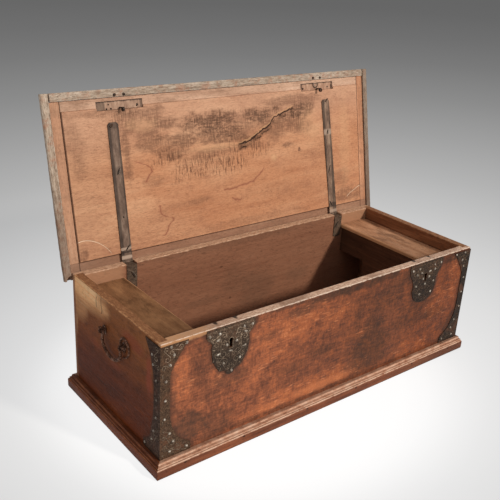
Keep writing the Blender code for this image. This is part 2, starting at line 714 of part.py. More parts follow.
def build_hinge_leaves():
    """Each leaf crosses the rim in its housing, bends down the back board's inner face and ends in two knuckles."""
    half = STRAP_WIDTH / 2
    inner = INNER_Y - FIT_GAP - LEAF_THICKNESS
    for side, hinge_x, _ in HINGES:
        low = (hinge_x - half, inner, leaf_underside())
        high = (hinge_x + half, FACE_Y, leaf_top())
        piece = add_piece("hinge_leaf_" + side, box_mesh(low, high), (hinge_x, FACE_Y, PIVOT_Z), WROUGHT_IRON)
        fuse(piece, leaf_plate_tool(side, hinge_x, inner))
        barrel = rod_mesh(KNUCKLE_RADIUS, (hinge_x - half, FACE_Y, PIVOT_Z), (hinge_x + half, FACE_Y, PIVOT_Z))
        fuse(piece, add_tool("leaf_barrel_" + side, barrel))
        third = STRAP_WIDTH / 6 + FIT_GAP
        low = (hinge_x - third, FACE_Y - knuckle_gap(), leaf_underside() - OVERRUN)
        high = (hinge_x + third, FACE_Y + KNUCKLE_RADIUS + OVERRUN, RIM_HEIGHT + OVERRUN)
        cut(piece, add_tool("leaf_gap_" + side, box_mesh(low, high)))
        cut(piece, pin_hole_tool("leaf_pin_hole_" + side, hinge_x, TRUNK, FACE_Y, PIVOT_Z))


def leaf_plate_tool(side, hinge_x, inner):
    """The leaf's long plate down the back board, its lower corners clipped."""
    half = STRAP_WIDTH / 2
    foot = leaf_top() - LEAF_LENGTH
    outline = [
        (hinge_x - half, leaf_top()), (hinge_x - half, foot + LEAF_CORNER), (hinge_x - half + LEAF_CORNER, foot),
        (hinge_x + half - LEAF_CORNER, foot), (hinge_x + half, foot + LEAF_CORNER), (hinge_x + half, leaf_top()),
    ]
    return add_tool("leaf_plate_" + side, plate_mesh(outline, FRONT_VIEW, inner, inner + LEAF_THICKNESS))


def pin_hole_tool(name, hinge_x, parent, y, z):
    """The hole through the knuckles."""
    reach = STRAP_WIDTH / 2 + OVERRUN
    return add_tool(name, rod_mesh(PIN_RADIUS + PIN_PLAY, (hinge_x - reach, y, z), (hinge_x + reach, y, z)), parent)


def build_hinge_pins():
    """The pins that join strap to leaf."""
    reach = STRAP_WIDTH / 2 + PIN_STANDOUT
    for side, hinge_x, _ in HINGES:
        mesh = rod_mesh(PIN_RADIUS, (hinge_x - reach, FACE_Y, PIVOT_Z), (hinge_x + reach, FACE_Y, PIVOT_Z))
        add_piece("hinge_pin_" + side, mesh, (hinge_x, FACE_Y, PIVOT_Z), WORN_IRON)


def strap_outline(hinge_x, slant):
    """A long strap with clipped corners at its end and a narrow tab at its knuckle."""
    half = STRAP_WIDTH / 2
    third = STRAP_WIDTH / 6
    start = knuckle_gap()
    end = FIELD_FRONT - STRAP_END_MARGIN
    shoulder = end - STRAP_END_CORNER
    tip_x = hinge_x + slant
    outline = [(hinge_x - third, 0.0), (hinge_x - third, -start), (hinge_x - half, -start)]
    outline += [(tip_x - half, -shoulder), (tip_x - half + STRAP_END_CORNER, -end)]
    outline += [(tip_x + half - STRAP_END_CORNER, -end), (tip_x + half, -shoulder)]
    outline += [(hinge_x + half, -start), (hinge_x + third, -start), (hinge_x + third, 0.0)]
    return outline


def build_hinge_straps():
    """Long straps on the lid's field, each with one knuckle that turns on the pin."""
    low = LID_SEAT - FIELD_DROP - FIT_GAP - STRAP_THICKNESS
    third = STRAP_WIDTH / 6
    for side, hinge_x, slant in HINGES:
        mesh = plate_mesh(strap_outline(hinge_x, slant), PLAN_VIEW, low, low + STRAP_THICKNESS)
        piece = add_piece("hinge_strap_" + side, mesh, (hinge_x, 0.0, 0.0), WORN_IRON, LID_AXIS)
        barrel = rod_mesh(KNUCKLE_RADIUS, (hinge_x - third, 0.0, 0.0), (hinge_x + third, 0.0, 0.0))
        fuse(piece, add_tool("strap_barrel_" + side, barrel, LID_AXIS))
        cut(piece, pin_hole_tool("strap_pin_hole_" + side, hinge_x, LID_AXIS, 0.0, 0.0))


def link_plate_spans(lock_x, margin):
    """Where a link plate lies in the lid, with a margin all round for its recess."""
    half = LINK_PLATE_LENGTH / 2 + margin
    front = CARCASS_DEPTH - LINK_PLATE_SETBACK
    return (
        (lock_x - half, lock_x + half),
        (front - LINK_PLATE_WIDTH - margin, front + margin),
        (-LINK_PLATE_SINK - LINK_PLATE_THICKNESS, -LINK_PLATE_SINK),
    )


def build_lid_boards():
    """The lid's panel, rails and clamps, recessed for the link plates and the hinges."""
    panel = lid_board(
        "lid_panel", (-FIELD_X, FIELD_X), (FIELD_REAR, FIELD_FRONT), (-LID_THICKNESS, FIELD_DROP), LID_WOOD
    )
    flush = (-LID_THICKNESS, 0.0)
    front = lid_board(
        "lid_front_rail", (-FIELD_X, FIELD_X), (FIELD_FRONT + FIT_GAP, BODY_FRONT), flush, LID_WOOD
    )
    rear = lid_board(
        "lid_hinge_rail", (-BODY_X, BODY_X), (-REAR_OVERHANG, FIELD_REAR - FIT_GAP), flush, LID_WOOD
    )
    for side, sign in SIDES:
        x_span = sorted((sign * (FIELD_X + FIT_GAP), sign * BODY_X))
        lid_board(f"lid_{side}_clamp", x_span, (FIELD_REAR, BODY_FRONT), flush, LID_WOOD)
        cut(rear, scoop_tool("rail_scoop_" + side, sign))
    for side, lock_x in LOCKS:
        x_span, a_span, o_span = link_plate_spans(lock_x, LINK_PLATE_PLAY)
        tool = lid_tool("link_recess_" + side, x_span, a_span, (o_span[0] - FIT_GAP, FIELD_DROP + OVERRUN))
        cut(panel, tool)
        cut(front, tool)
    for side, hinge_x, _ in HINGES:
        half = STRAP_WIDTH / 2
        x_span = (hinge_x - half - LID_POCKET_PLAY, hinge_x + half + HOUSING_PLAY)
        a_span = (-REAR_OVERHANG - OVERRUN, FIELD_REAR + OVERRUN)
        cut(rear, lid_tool("hinge_pocket_" + side, x_span, a_span, (-LID_POCKET_DEPTH, OVERRUN)))


def scoop_tool(name, sign):
    """A round scoop at a rear corner of the lid's underside."""
    x = sign * (BODY_X + FIT_GAP)
    start = (x, REAR_OVERHANG, LID_SEAT - MOULDING_LIP_DROP - OVERRUN)
    end = (x, REAR_OVERHANG, LID_SEAT + SCOOP_DEPTH)
    return add_tool(name, rod_mesh(SCOOP_RADIUS, start, end), LID_AXIS)


def moulding_section():
    """The moulding's section: its width outward from the lid's body, and its height from the hinge axis."""
    low = LID_SEAT - MOULDING_LIP_DROP
    height = MOULDING_LIP_DROP + LID_THICKNESS
    return [(out * MOULDING_WIDTH, low + up * height) for out, up in MOULDING_SECTION_SHARES]


def build_lid_mouldings():
    """The front moulding butts between the side mouldings, which run through and are scooped at the rear."""
    outline = [(-BODY_FRONT - FIT_GAP - out, up) for out, up in moulding_section()]
    mesh = plate_mesh(outline, END_VIEW, -BODY_X, BODY_X)
    add_piece("lid_front_moulding", mesh, (0.0, -BODY_FRONT, LID_SEAT), WEATHERED_WOOD, LID_AXIS)
    for side, sign in SIDES:
        outline = [(sign * (BODY_X + FIT_GAP + out), up) for out, up in moulding_section()]
        mesh = plate_mesh(outline, FRONT_VIEW, -MOULDING_FRONT, REAR_OVERHANG)
        place = (sign * BODY_X, 0.0, LID_SEAT)
        piece = add_piece(f"lid_{side}_moulding", mesh, place, WEATHERED_WOOD, LID_AXIS)
        cut(piece, scoop_tool("moulding_scoop_" + side, sign))


def build_link_plates():
    """Plates let into the lid a little deeper than flush, over the front board's inner edge."""
    for side, lock_x in LOCKS:
        low, high = lid_low_high(*link_plate_spans(lock_x, 0.0))
        centre = (Vector(low) + Vector(high)) / 2
        add_piece("lock_link_plate_" + side, box_mesh(low, high), centre, WROUGHT_IRON, LID_AXIS)


def staple_outline():
    """A shank that swells into a ring, drawn in the lid's frame."""
    centre = (-STAPLE_A, LID_SEAT - STAPLE_REACH)
    root = LID_SEAT + LINK_PLATE_SINK - FIT_GAP
    edge = -STAPLE_A - STAPLE_RING_RADIUS
    shank = edge + STAPLE_SHANK_WIDTH
    lean = math.degrees(math.acos((centre[0] - shank) / STAPLE_RING_RADIUS))
    ring = circle_points(centre, STAPLE_RING_RADIUS, 180, 360 - lean, ROUND_SIDES)
    return [(shank, root), (edge, root)] + ring


def build_lid_staples():
    """A staple hangs from each link plate; the lock's bolt slides through its ring."""
    half = STAPLE_THICKNESS / 2
    for side, lock_x in LOCKS:
        mesh = plate_mesh(staple_outline(), END_VIEW, lock_x - half, lock_x + half)
        place = (lock_x, -STAPLE_A, LID_SEAT - STAPLE_REACH)
        piece = add_piece("lock_staple_" + side, mesh, place, WROUGHT_IRON, LID_AXIS)
        reach = half + OVERRUN
        start = (lock_x - reach, place[1], place[2])
        end = (lock_x + reach, place[1], place[2])
        cut(piece, add_tool("staple_hole_" + side, rod_mesh(STAPLE_HOLE_RADIUS, start, end), LID_AXIS))


def build_tills():
    """A walled till at the left; at the right a partition to the floor, with a doorway at its rear foot."""
    roof = TILL_LID_TOP - TILL_LID_THICKNESS - FIT_GAP
    reach = INNER_Y - FIT_GAP
    outer = TILL_WALL_X + TILL_WALL_THICKNESS
    for side, sign in SIDES:
        x_span = sorted((sign * (outer + FIT_GAP), sign * (INNER_X - FIT_GAP)))
        low = (x_span[0], -reach, TILL_UNDERSIDE_Z)
        high = (x_span[1], reach, TILL_FLOOR_Z)
        board("till_bottom_" + side, low, high, PALE_WOOD, TRUNK, TILL_ARRIS)
    left = (-outer, -reach, TILL_UNDERSIDE_Z)
    board("till_wall_left", left, (-TILL_WALL_X, reach, roof), PALE_WOOD, TRUNK, TILL_ARRIS)
    low = (TILL_WALL_X, -reach, WALL_FOOT_Z)
    partition = board("partition_right", low, (outer, reach, roof), PALE_WOOD, TRUNK, TILL_ARRIS)
    low = (TILL_WALL_X - OVERRUN, INNER_Y - DOORWAY_DEPTH, WALL_FOOT_Z - OVERRUN)
    high = (outer + OVERRUN, INNER_Y + OVERRUN, TILL_UNDERSIDE_Z)
    cut(partition, add_tool("doorway", box_mesh(low, high)))


def till_lid_outline(sign):
    """The till lid's section: a round hinge edge and a softened nosing."""
    half = TILL_LID_THICKNESS / 2
    edge_x = INNER_X - TILL_EDGE_PLAY - half
    nose = half / 2
    arc = circle_points((edge_x, TILL_PIVOT_Z), half, -90, 180, ROUND_SIDES // 2)
    nosing = [
        (TILL_INNER_X - TILL_NOSING + nose, TILL_PIVOT_Z + half),
        (TILL_INNER_X - TILL_NOSING, TILL_PIVOT_Z + half - nose),
        (TILL_INNER_X - TILL_NOSING, TILL_PIVOT_Z - half),
    ]
    return [(sign * x, z) for x, z in arc + nosing]


def build_till_lids():
    """Till lids that turn on wooden pins in the front and back boards."""
    reach = INNER_Y - TILL_LID_PLAY
    pin = INNER_Y + PINTLE_LENGTH
    for side, sign in SIDES:
        mesh = plate_mesh(till_lid_outline(sign), FRONT_VIEW, -reach, reach)
        shade_round(mesh)
        place = (sign * TILL_PIVOT_X, 0.0, TILL_PIVOT_Z)
        piece = add_piece("till_lid_" + side, mesh, place, PALE_WOOD)
        start = (place[0], -pin, place[2])
        end = (place[0], pin, place[2])
        fuse(piece, add_tool("pintles_" + side, rod_mesh(PINTLE_RADIUS, start, end)))


def build_handle_eyes():
    """Each end of a bail hangs in a ring eye that stands on an oval rose."""
    for side, sign in SIDES:
        for place, along in (("front", -1), ("rear", 1)):
            y = HANDLE_SETBACK + along * EYE_Y
            outline = [
                (y + across, EYE_Z - ROSE_SAG + up * ROSE_HEIGHT / ROSE_WIDTH)
                for across, up in circle_points((0.0, 0.0), ROSE_WIDTH / 2)
            ]
            low, high = sorted((sign * (END_X + FIT_GAP), sign * (END_X + FIT_GAP + ROSE_THICKNESS)))
            mesh = plate_mesh(outline, END_VIEW, low, high)
            name = f"handle_eye_{side}_{place}"
            piece = add_piece(name, mesh, (sign * END_X, y, EYE_Z), WROUGHT_IRON)
            fuse(piece, eye_ring_tool(name, sign, y))


def eye_ring_tool(name, sign, y):
    """The ring itself, round the handle's axis."""
    bpy.ops.mesh.primitive_torus_add(
        major_segments=ROUND_SIDES, minor_segments=ROUND_SIDES // 3,
        major_radius=EYE_RADIUS, minor_radius=EYE_WIRE_RADIUS, rotation=(0.0, 0.0, 0.0),
    )
    ring = bpy.context.object
    mesh = ring.data
    bpy.data.objects.remove(ring, do_unlink=True)
    mesh.transform(Matrix.Rotation(math.pi / 2, 4, "X"))
    mesh.transform(Matrix.Translation((sign * EYE_X, y, EYE_Z)))
    shade_round(mesh)
    return add_tool(name + "_ring", mesh)


def smooth_path(points, steps):
    """Points along a smooth curve through the given ones."""
    padded = [points[0], *points, points[-1]]
    path = []
    for index in range(1, len(padded) - 2):
        before, start, end, after = (Vector(value) for value in padded[index - 1:index + 3])
        for step in range(steps):
            t = step / steps
            lean = (end - before) / 2 * t + (before * 2 - start * 5 + end * 4 - after) / 2 * t * t
            path.append(start + lean + (start * 3 - before - end * 3 + after) / 2 * t * t * t)
    path.append(Vector(points[-1]))
    return path


def bail_path():
    """The bail's centre line in its own plane: tip, eye, bend, leg and the bottom, then mirrored."""
    half = BAIL_SPREAD / 2
    inner = half + BAIL_BEND
    tip = EYE_Y + EYE_WIRE_RADIUS + BAIL_TIP
    points = [(tip + BAIL_RADIUS / 2, BAIL_TIP), (tip, BAIL_TIP / 3), (EYE_Y + EYE_WIRE_RADIUS, 0.0)]
    points += [(inner, 0.0), (half + BAIL_BEND / 3, -BAIL_BEND / 3), (half, -BAIL_BEND)]
    points += [(across * half, -down * BAIL_FALL) for across, down in BAIL_SIDE_SHARES]
    mirrored = [(-across, up) for across, up in reversed(points)]
    return smooth_path(points + mirrored, BAIL_STEPS)


def build_bails():
    """Forged bails, thickest in the hand, with their ends hooked through the eyes."""
    path = bail_path()
    for side, sign in SIDES:
        curve = bpy.data.curves.new("bail", "CURVE")
        curve.dimensions = "3D"
        curve.bevel_depth = BAIL_RADIUS
        curve.bevel_resolution = 2
        curve.use_fill_caps = True
        spline = curve.splines.new("POLY")
        spline.points.add(len(path) - 1)
        for point, place in zip(spline.points, path):
            point.co = (sign * EYE_X, HANDLE_SETBACK + place[0], EYE_Z + place[1], 1.0)
            grip = min(1.0, max(0.0, -place[1] / BAIL_FALL))
            point.radius = BAIL_END_SHARE + (1.0 - BAIL_END_SHARE) * grip
        mesh = mesh_of_curve(curve, Matrix.Identity(4))
        shade_round(mesh)
        add_piece("handle_bail_" + side, mesh, (sign * EYE_X, HANDLE_SETBACK, EYE_Z), WROUGHT_IRON)


def main():
    """Build the trunk, carcass first."""
    build_front_board()
    build_back_board()
    build_end_boards()
    build_bottom()
    build_plinth()
    build_corner_irons()
    build_shields()
    build_lock_cases()
    build_lock_bolts()
    build_tills()
    build_till_lids()
    build_handle_eyes()
    build_bails()
    build_hinge_leaves()
    build_hinge_pins()
    build_lid_boards()
    build_lid_mouldings()
    build_hinge_straps()
    build_link_plates()
    build_lid_staples()


main()
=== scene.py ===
# %% [markdown]
# # An old boarded trunk with its lid thrown open
#
# The trunk's solids are ready-made: boards, mouldings, straps, locks and handles, each already on the body
# that it turns or slides with. This lesson gives each of them the finish of the real one, lays the small
# forged work on them, and sets up a plain studio around it.

# %% Load the trunk's solids
import json
import math

import bpy
import numpy as np
from mathutils import Matrix, Vector


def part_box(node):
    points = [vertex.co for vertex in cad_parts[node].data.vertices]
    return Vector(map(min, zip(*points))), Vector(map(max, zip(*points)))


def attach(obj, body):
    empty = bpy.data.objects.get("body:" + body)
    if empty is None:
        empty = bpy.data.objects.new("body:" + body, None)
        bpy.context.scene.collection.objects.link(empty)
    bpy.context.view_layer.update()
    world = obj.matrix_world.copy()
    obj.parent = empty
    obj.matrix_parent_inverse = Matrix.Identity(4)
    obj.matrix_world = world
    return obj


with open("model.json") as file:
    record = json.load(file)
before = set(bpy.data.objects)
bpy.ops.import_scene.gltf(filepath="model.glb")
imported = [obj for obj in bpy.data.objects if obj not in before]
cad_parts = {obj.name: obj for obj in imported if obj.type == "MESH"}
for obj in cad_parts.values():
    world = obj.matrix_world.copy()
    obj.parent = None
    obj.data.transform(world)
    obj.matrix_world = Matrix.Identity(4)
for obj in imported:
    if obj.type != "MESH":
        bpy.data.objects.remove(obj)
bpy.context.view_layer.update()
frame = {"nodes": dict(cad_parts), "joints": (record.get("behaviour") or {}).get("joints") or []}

solids = frame["nodes"]
MM = 0.001

# %% [markdown]
# ## The camera
#
# The photograph was taken from the front left corner and from above, with the camera tilted a little to one
# side. A camera can be aimed with a constraint, but a turned matrix holds the tilt as well, so the three
# axes of the camera are worked out from its angles.

# %% Stand the camera
CAMERA_PLACE = Vector((-1.40653, -1.597926, 1.28098))
CAMERA_AZIMUTH, CAMERA_ELEVATION, CAMERA_ROLL = (math.radians(a) for a in (-39.084, 22.735, 3.346))
CAMERA_LENS = 52.98


def camera_axes(azimuth, elevation, roll):
    back = Vector((math.sin(azimuth) * math.cos(elevation), -math.cos(azimuth) * math.cos(elevation),
                   math.sin(elevation)))
    level = back.cross(Vector((0, 0, 1))).normalized() * -1
    upright = level.cross(-back)
    across = math.cos(roll) * level + math.sin(roll) * upright
    upward = -math.sin(roll) * level + math.cos(roll) * upright
    return Matrix((across, upward, back)).transposed()


camera = bpy.data.objects.new("camera", bpy.data.cameras.new("camera"))
bpy.context.scene.collection.objects.link(camera)
camera.data.lens = CAMERA_LENS
turned = camera_axes(CAMERA_AZIMUTH, CAMERA_ELEVATION, CAMERA_ROLL)
camera.matrix_world = Matrix.Translation(CAMERA_PLACE) @ turned.to_4x4()
bpy.context.scene.camera = camera
bpy.context.scene.view_settings.view_transform = "Standard"

# %% [markdown]
# ## Shader maths as plain sums
#
# A finish is a net of nodes. Wiring it by hand is slow to write and hard to read, so one small class wraps
# a socket and lets sums add their own Math nodes, and another adds every other node in one way: its type,
# its settings, then the values or links of its sockets.

# %% Wrap a socket so that sums build nodes
def sum_of(operation, turned=False):
    """A method that adds one Math node; turned puts the other number first."""
    def method(self, other=0.0):
        pair = (other, self) if turned else (self, other)
        return self.finish.node("ShaderNodeMath", {"operation": operation}, dict(enumerate(pair)))
    return method


class Value:
    """One output socket that takes part in sums."""

    def __init__(self, finish, socket):
        self.finish, self.socket = finish, socket

    __add__ = __radd__ = sum_of("ADD")
    __mul__ = __rmul__ = sum_of("MULTIPLY")
    __sub__, __rsub__ = sum_of("SUBTRACT"), sum_of("SUBTRACT", turned=True)
    __truediv__, __abs__ = sum_of("DIVIDE"), sum_of("ABSOLUTE")
    most, least = sum_of("MAXIMUM"), sum_of("MINIMUM")

    def soft(self, low, high):
        """A smooth step from 0 at low to 1 at high."""
        return self.finish.node("ShaderNodeMapRange", {"interpolation_type": "SMOOTHSTEP"},
                                {"Value": self, "From Min": low, "From Max": high})

    def edge(self, level, low, high):
        """A smooth step about a level, between two distances from it in millimetres."""
        return self.soft(level + low * MM, level + high * MM)

    def coat(self, share, over):
        """This colour with a share of another over it: a screen tone or a colour that is already built."""
        over = over if isinstance(over, Value) else screen(*over)
        return self.finish.node("ShaderNodeMix", {"data_type": "RGBA"}, {0: share, 6: self, 7: over}, 2)

    def coats(self, *layers):
        """Several coats in turn, each a share and what goes over."""
        colour = self
        for share, over in layers:
            colour = colour.coat(share, over)
        return colour

    def tint(self, share, filtered):
        """This colour with its red, green and blue cut down by three factors, by a share."""
        return self.finish.node("ShaderNodeMix", {"data_type": "RGBA", "blend_type": "MULTIPLY"},
                                {0: share, 6: self, 7: (*filtered, 1)}, 2)


# %% [markdown]
# Colours are written as they look on a screen, from 0 to 255, and turned into the linear light that shaders
# work in.

# %% Turn screen colours into light
def screen(red, green, blue):
    parts = (channel / 255 for channel in (red, green, blue))
    return tuple(p / 12.92 if p <= 0.04045 else ((p + 0.055) / 1.055) ** 2.4 for p in parts) + (1.0,)


def dimmed(tone, share):
    """A screen tone made darker, or paler up to white; share is one factor or one for each channel."""
    shares = share if isinstance(share, tuple) else (share,) * 3
    return tuple(min(255, channel * part) for channel, part in zip(tone, shares))


# %% [markdown]
# ## A finish
#
# Every material here is built from the same few moves: read the place on the piece, lay noise over it, turn
# soft steps into masks, and mix colours by those masks. They are methods of the value and of the finish.

# %% Gather the moves that every finish uses
class Net:
    """A net of shader nodes."""

    def __init__(self, tree):
        self.tree = tree
        self.tree.nodes.clear()

    def node(self, kind, settings=None, inputs=None, output=0):
        made = self.tree.nodes.new(kind)
        for key, setting in (settings or {}).items():
            if key == "stops":
                self.set_stops(made.color_ramp, setting)
            elif key == "curve":
                self.set_curve(made.mapping, setting)
            else:
                setattr(made, key, setting)
        for key, given in (inputs or {}).items():
            if isinstance(given, Value):
                self.tree.links.new(given.socket, made.inputs[key])
            else:
                made.inputs[key].default_value = given
        return Value(self, made.outputs[output] if made.outputs else None)

    def set_stops(self, ramp, stops):
        while len(ramp.elements) < len(stops):
            ramp.elements.new(1.0)
        for element, (position, colour) in zip(ramp.elements, stops):
            element.position = position
            element.color = colour

    def set_curve(self, mapping, points):
        curve = mapping.curves[0]
        while len(curve.points) < len(points):
            curve.points.new(0.5, 0.5)
        for point, location in zip(curve.points, points):
            point.location = location
        mapping.update()


class Finish(Net):
    """One material, with the nodes that make its colour, gloss and relief."""

    def __init__(self, name, placed=None):
        self.material = bpy.data.materials.new(name)
        self.material.use_nodes = True
        super().__init__(self.material.node_tree)
        self.place = self.node("ShaderNodeTexCoord", output="Object")
        if placed:
            self.place = placed(self)
        split = self.node("ShaderNodeSeparateXYZ", inputs={0: self.place})
        self.axes = tuple(Value(self, socket) for socket in split.socket.node.outputs)

    def noise(self, scale, detail=3, roughness=0.5, distortion=0, place=None):
        """Noise at one scale, or at three along the three axes."""
        place = place or self.place
        if isinstance(scale, tuple):
            place, scale = self.vector("MULTIPLY", place, scale), 1.0
        return self.node("ShaderNodeTexNoise", {}, {"Vector": place, "Scale": scale, "Detail": detail,
                                                    "Roughness": roughness, "Distortion": distortion})

    def vector(self, operation, first, second=(0, 0, 0), output="Vector"):
        return self.node("ShaderNodeVectorMath", {"operation": operation}, {0: first, 1: second}, output)

    def ramp(self, value, stops):
        """Tones along a value; each stop is a position and a screen tone."""
        return self.node("ShaderNodeValToRGB", {"stops": [(at, screen(*tone)) for at, *tone in stops]},
                         {"Fac": value})

    def spread(self, value, tones, half):
        """Three tones evenly about the middle of a value."""
        return self.ramp(value, [(at, *tone) for at, tone in zip((0.5 - half, 0.5, 0.5 + half), tones)])

    def patch(self, centre, radii, ragged):
        """A soft round mark with a ragged edge, 1 inside and 0 outside."""
        scale = tuple(1 / r for r in radii)
        moved = self.node("ShaderNodeMapping", {}, {"Vector": self.place, "Scale": scale,
                                                    "Location": tuple(-c * s for c, s in zip(centre, scale))})
        return (self.vector("LENGTH", moved, output="Value") + ragged).soft(1.2, 0.45)

    def line(self, along, across, points, width):
        """A drawn line through points, each a pair of along and across, in millimetres like its width."""
        points = [(a * MM, b * MM) for a, b in points]
        width = width * MM
        start, end = points[0][0], points[-1][0]
        low = min(p[1] for p in points)
        rise = max(p[1] for p in points) - low or 1.0
        share = (along - start) / (end - start)
        curve = [((a - start) / (end - start), (b - low) / rise) for a, b in points]
        followed = self.node("ShaderNodeFloatCurve", {"curve": curve}, {"Value": share}) * rise + low
        return abs(across - followed).soft(width, width * 0.25) * abs(share - 0.5).soft(0.52, 0.47)

    def done(self, colour, roughness, height, rise, metallic=0.0, sheen=0.16):
        relief = self.node("ShaderNodeBump", {}, {"Height": height, "Distance": rise})
        surface = self.node("ShaderNodeBsdfPrincipled", {}, {
            "Base Color": colour, "Roughness": roughness, "Metallic": metallic, "Specular IOR Level": sheen,
            "Normal": relief})
        self.node("ShaderNodeOutputMaterial", {}, {"Surface": surface})
        return self.material


print("finishes can be mixed")

# %% [markdown]
# ## The studio
#
# The trunk stands on a pale floor that turns grey with distance, and one low key light comes from the front
# right, as the long shadow inside the trunk shows. A floor that only scattered light could never look white
# without too much light on the wood. So part of its brightness is given to camera rays alone, and the rest
# scatters, which keeps the trunk's shadow.

# %% Lay the floor and hang the lights
KEY_DIRECTION = Vector((0.324, -0.808, 0.493))
KEY_SHARE, SKY_SHARE = 0.66, 0.46
KEY_SPREAD = math.radians(5)
FLOOR_SIZE = 60
FLOOR_GLOW, FLOOR_SCATTER = 0.83, 0.28
FLOOR_MIDDLE, FLOOR_LEAN = (-0.3, -0.1, 0.0), (0.329, 0.119, 0.0)
FLOOR_TONES = (
    (0.15, 255), (0.187, 253), (0.207, 249), (0.223, 243), (0.239, 236), (0.254, 230), (0.271, 225),
    (0.313, 216), (0.405, 193), (0.478, 175), (0.557, 157), (0.64, 137), (0.722, 119), (0.781, 109),
    (0.842, 101), (1.0, 93),
)
HORIZON_GREY = 97


def floor_finish():
    finish = Finish("studio_floor")
    away = finish.vector("SUBTRACT", finish.place, FLOOR_MIDDLE)
    reach = finish.vector("LENGTH", away, output="Value")
    reach = reach - finish.vector("DOT_PRODUCT", away, FLOOR_LEAN, output="Value")
    tone = finish.ramp(reach / (reach + 2.0), [(at, grey, grey, grey) for at, grey in FLOOR_TONES])
    glow = finish.node("ShaderNodeEmission", {}, {"Color": tone, "Strength": FLOOR_GLOW})
    thin = tone.coat(1 - FLOOR_SCATTER, (0, 0, 0))
    scatter = finish.node("ShaderNodeBsdfDiffuse", {}, {"Color": thin})
    seen = finish.node("ShaderNodeAddShader", {}, {0: glow, 1: scatter})
    plain = finish.node("ShaderNodeBsdfDiffuse", {}, {"Color": screen(225, 223, 220)})
    direct = finish.node("ShaderNodeLightPath", output="Is Camera Ray").most(
        finish.node("ShaderNodeLightPath", output="Is Glossy Ray"))
    surface = finish.node("ShaderNodeMixShader", {}, {0: direct, 1: plain, 2: seen})
    finish.node("ShaderNodeOutputMaterial", {}, {"Surface": surface})
    return finish.material


def lay_floor():
    half = FLOOR_SIZE / 2
    mesh = bpy.data.meshes.new("floor")
    corners = [(-half, -half, 0), (half, -half, 0), (half, half, 0), (-half, half, 0)]
    mesh.from_pydata(corners, [], [(0, 1, 2, 3)])
    mesh.materials.append(floor_finish())
    floor = bpy.data.objects.new("floor", mesh)
    floor.location.z = -0.2 * MM
    bpy.context.scene.collection.objects.link(floor)


def hang_key():
    lamp = bpy.data.lights.new("key", "SUN")
    lamp.energy = KEY_SHARE * math.pi
    lamp.angle = KEY_SPREAD
    lamp.color = screen(255, 250, 242)[:3]
    key = bpy.data.objects.new("key", lamp)
    key.rotation_euler = (-KEY_DIRECTION).to_track_quat("-Z", "Y").to_euler()
    bpy.context.scene.collection.objects.link(key)


def light_sky():
    world = bpy.data.worlds.new("studio")
    world.use_nodes = True
    sky = Net(world.node_tree)
    fill = sky.node("ShaderNodeBackground", {}, {"Color": screen(250, 252, 255), "Strength": SKY_SHARE})
    horizon = sky.node("ShaderNodeBackground", {}, {"Color": screen(*[HORIZON_GREY] * 3)})
    seen = sky.node("ShaderNodeLightPath", output="Is Camera Ray")
    mixed = sky.node("ShaderNodeMixShader", {}, {0: seen, 1: fill, 2: horizon})
    sky.node("ShaderNodeOutputWorld", {}, {"Surface": mixed})
    bpy.context.scene.world = world


lay_floor()
hang_key()
light_sky()
print("key light at", round(math.degrees(math.asin(KEY_DIRECTION.z))), "degrees above the floor")

# %% [markdown]
# ## Two kinds of place
#
# Marks on the carcass are given in millimetres from the trunk's middle and from the floor. The lid stands
# open, so its marks are easier to give as on the bench: how far along, how far forward from the back, and
# how far out from the underside. The hinge's own place and range say how to turn one into the other.

# %% Turn lid places into trunk places
lid_joint = next(joint for joint in frame["joints"] if joint["name"] == "lid_hinge")
LID_PIVOT = Vector(lid_joint["pos_m"])
LID_SWING = math.radians(lid_joint["range_deg"][1])
LID_SEAT = 0.0043
LID_TURN = Matrix.Rotation(-LID_SWING, 3, "X")
LID_FORWARD = LID_TURN @ Vector((0, -1, 0))


def on_lid(x, forward, outward):
    """Millimetres along, forward and outward on the lid, as a place on the open trunk in metres."""
    return LID_PIVOT + LID_TURN @ (Vector((x, -forward, -outward)) * MM + Vector((0, 0, LID_SEAT)))


def lid_place(finish):
    """The place on the lid's underside as it lies closed: along, backward and up, from the hinge."""
    home = LID_TURN.transposed() @ LID_PIVOT
    return finish.node("ShaderNodeMapping", {}, {"Vector": finish.place, "Rotation": (LID_SWING, 0, 0),
                                                 "Location": -home})


_, strap_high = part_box("hinge_strap_left")
print("left strap's front end should be near", [round(v, 3) for v in on_lid(-423, 412, 3)], strap_high[:])

# %% [markdown]
# ## Old wood
#
# The boards are a coarse brown hardwood, sawn and planed by hand. Its colour drifts slowly along a board,
# carries finer streaks with the grain, and has short dark pores. Three noises stretched along the grain
# give the three scales. A picture could be wrapped round the boards instead, but it would repeat and blur
# up close.

# %% Grow the grain
def grain(finish, along, tones, patchy=0.5):
    """Colour and height of bare wood whose grain runs along axis 0, 1 or 2."""
    def drawn(lengthways, crossways):
        return tuple(lengthways if axis == along else crossways for axis in range(3))

    broad = finish.noise(drawn(3, 16), 5, 0.6, 0.5)
    streak = finish.noise(drawn(6, 130), 5, 0.6)
    pores = finish.noise(drawn(60, 900), 2).soft(0.56, 0.68)
    colour = finish.spread(broad * patchy + streak * (1 - patchy), tones, 0.18)
    colour = colour.coat(pores * 0.35, dimmed(tones[0], 0.45))
    return colour, streak * 0.6 + broad * 0.4 - pores * 0.35


# A mark runs right through its board unless it is given a depth.
WIDE = 9.0
ON_BOARD, ON_END, ON_PANEL = ((0, 1), (2, 1)), ((1, 1), (2, 1)), ((0, 1), (1, -1))


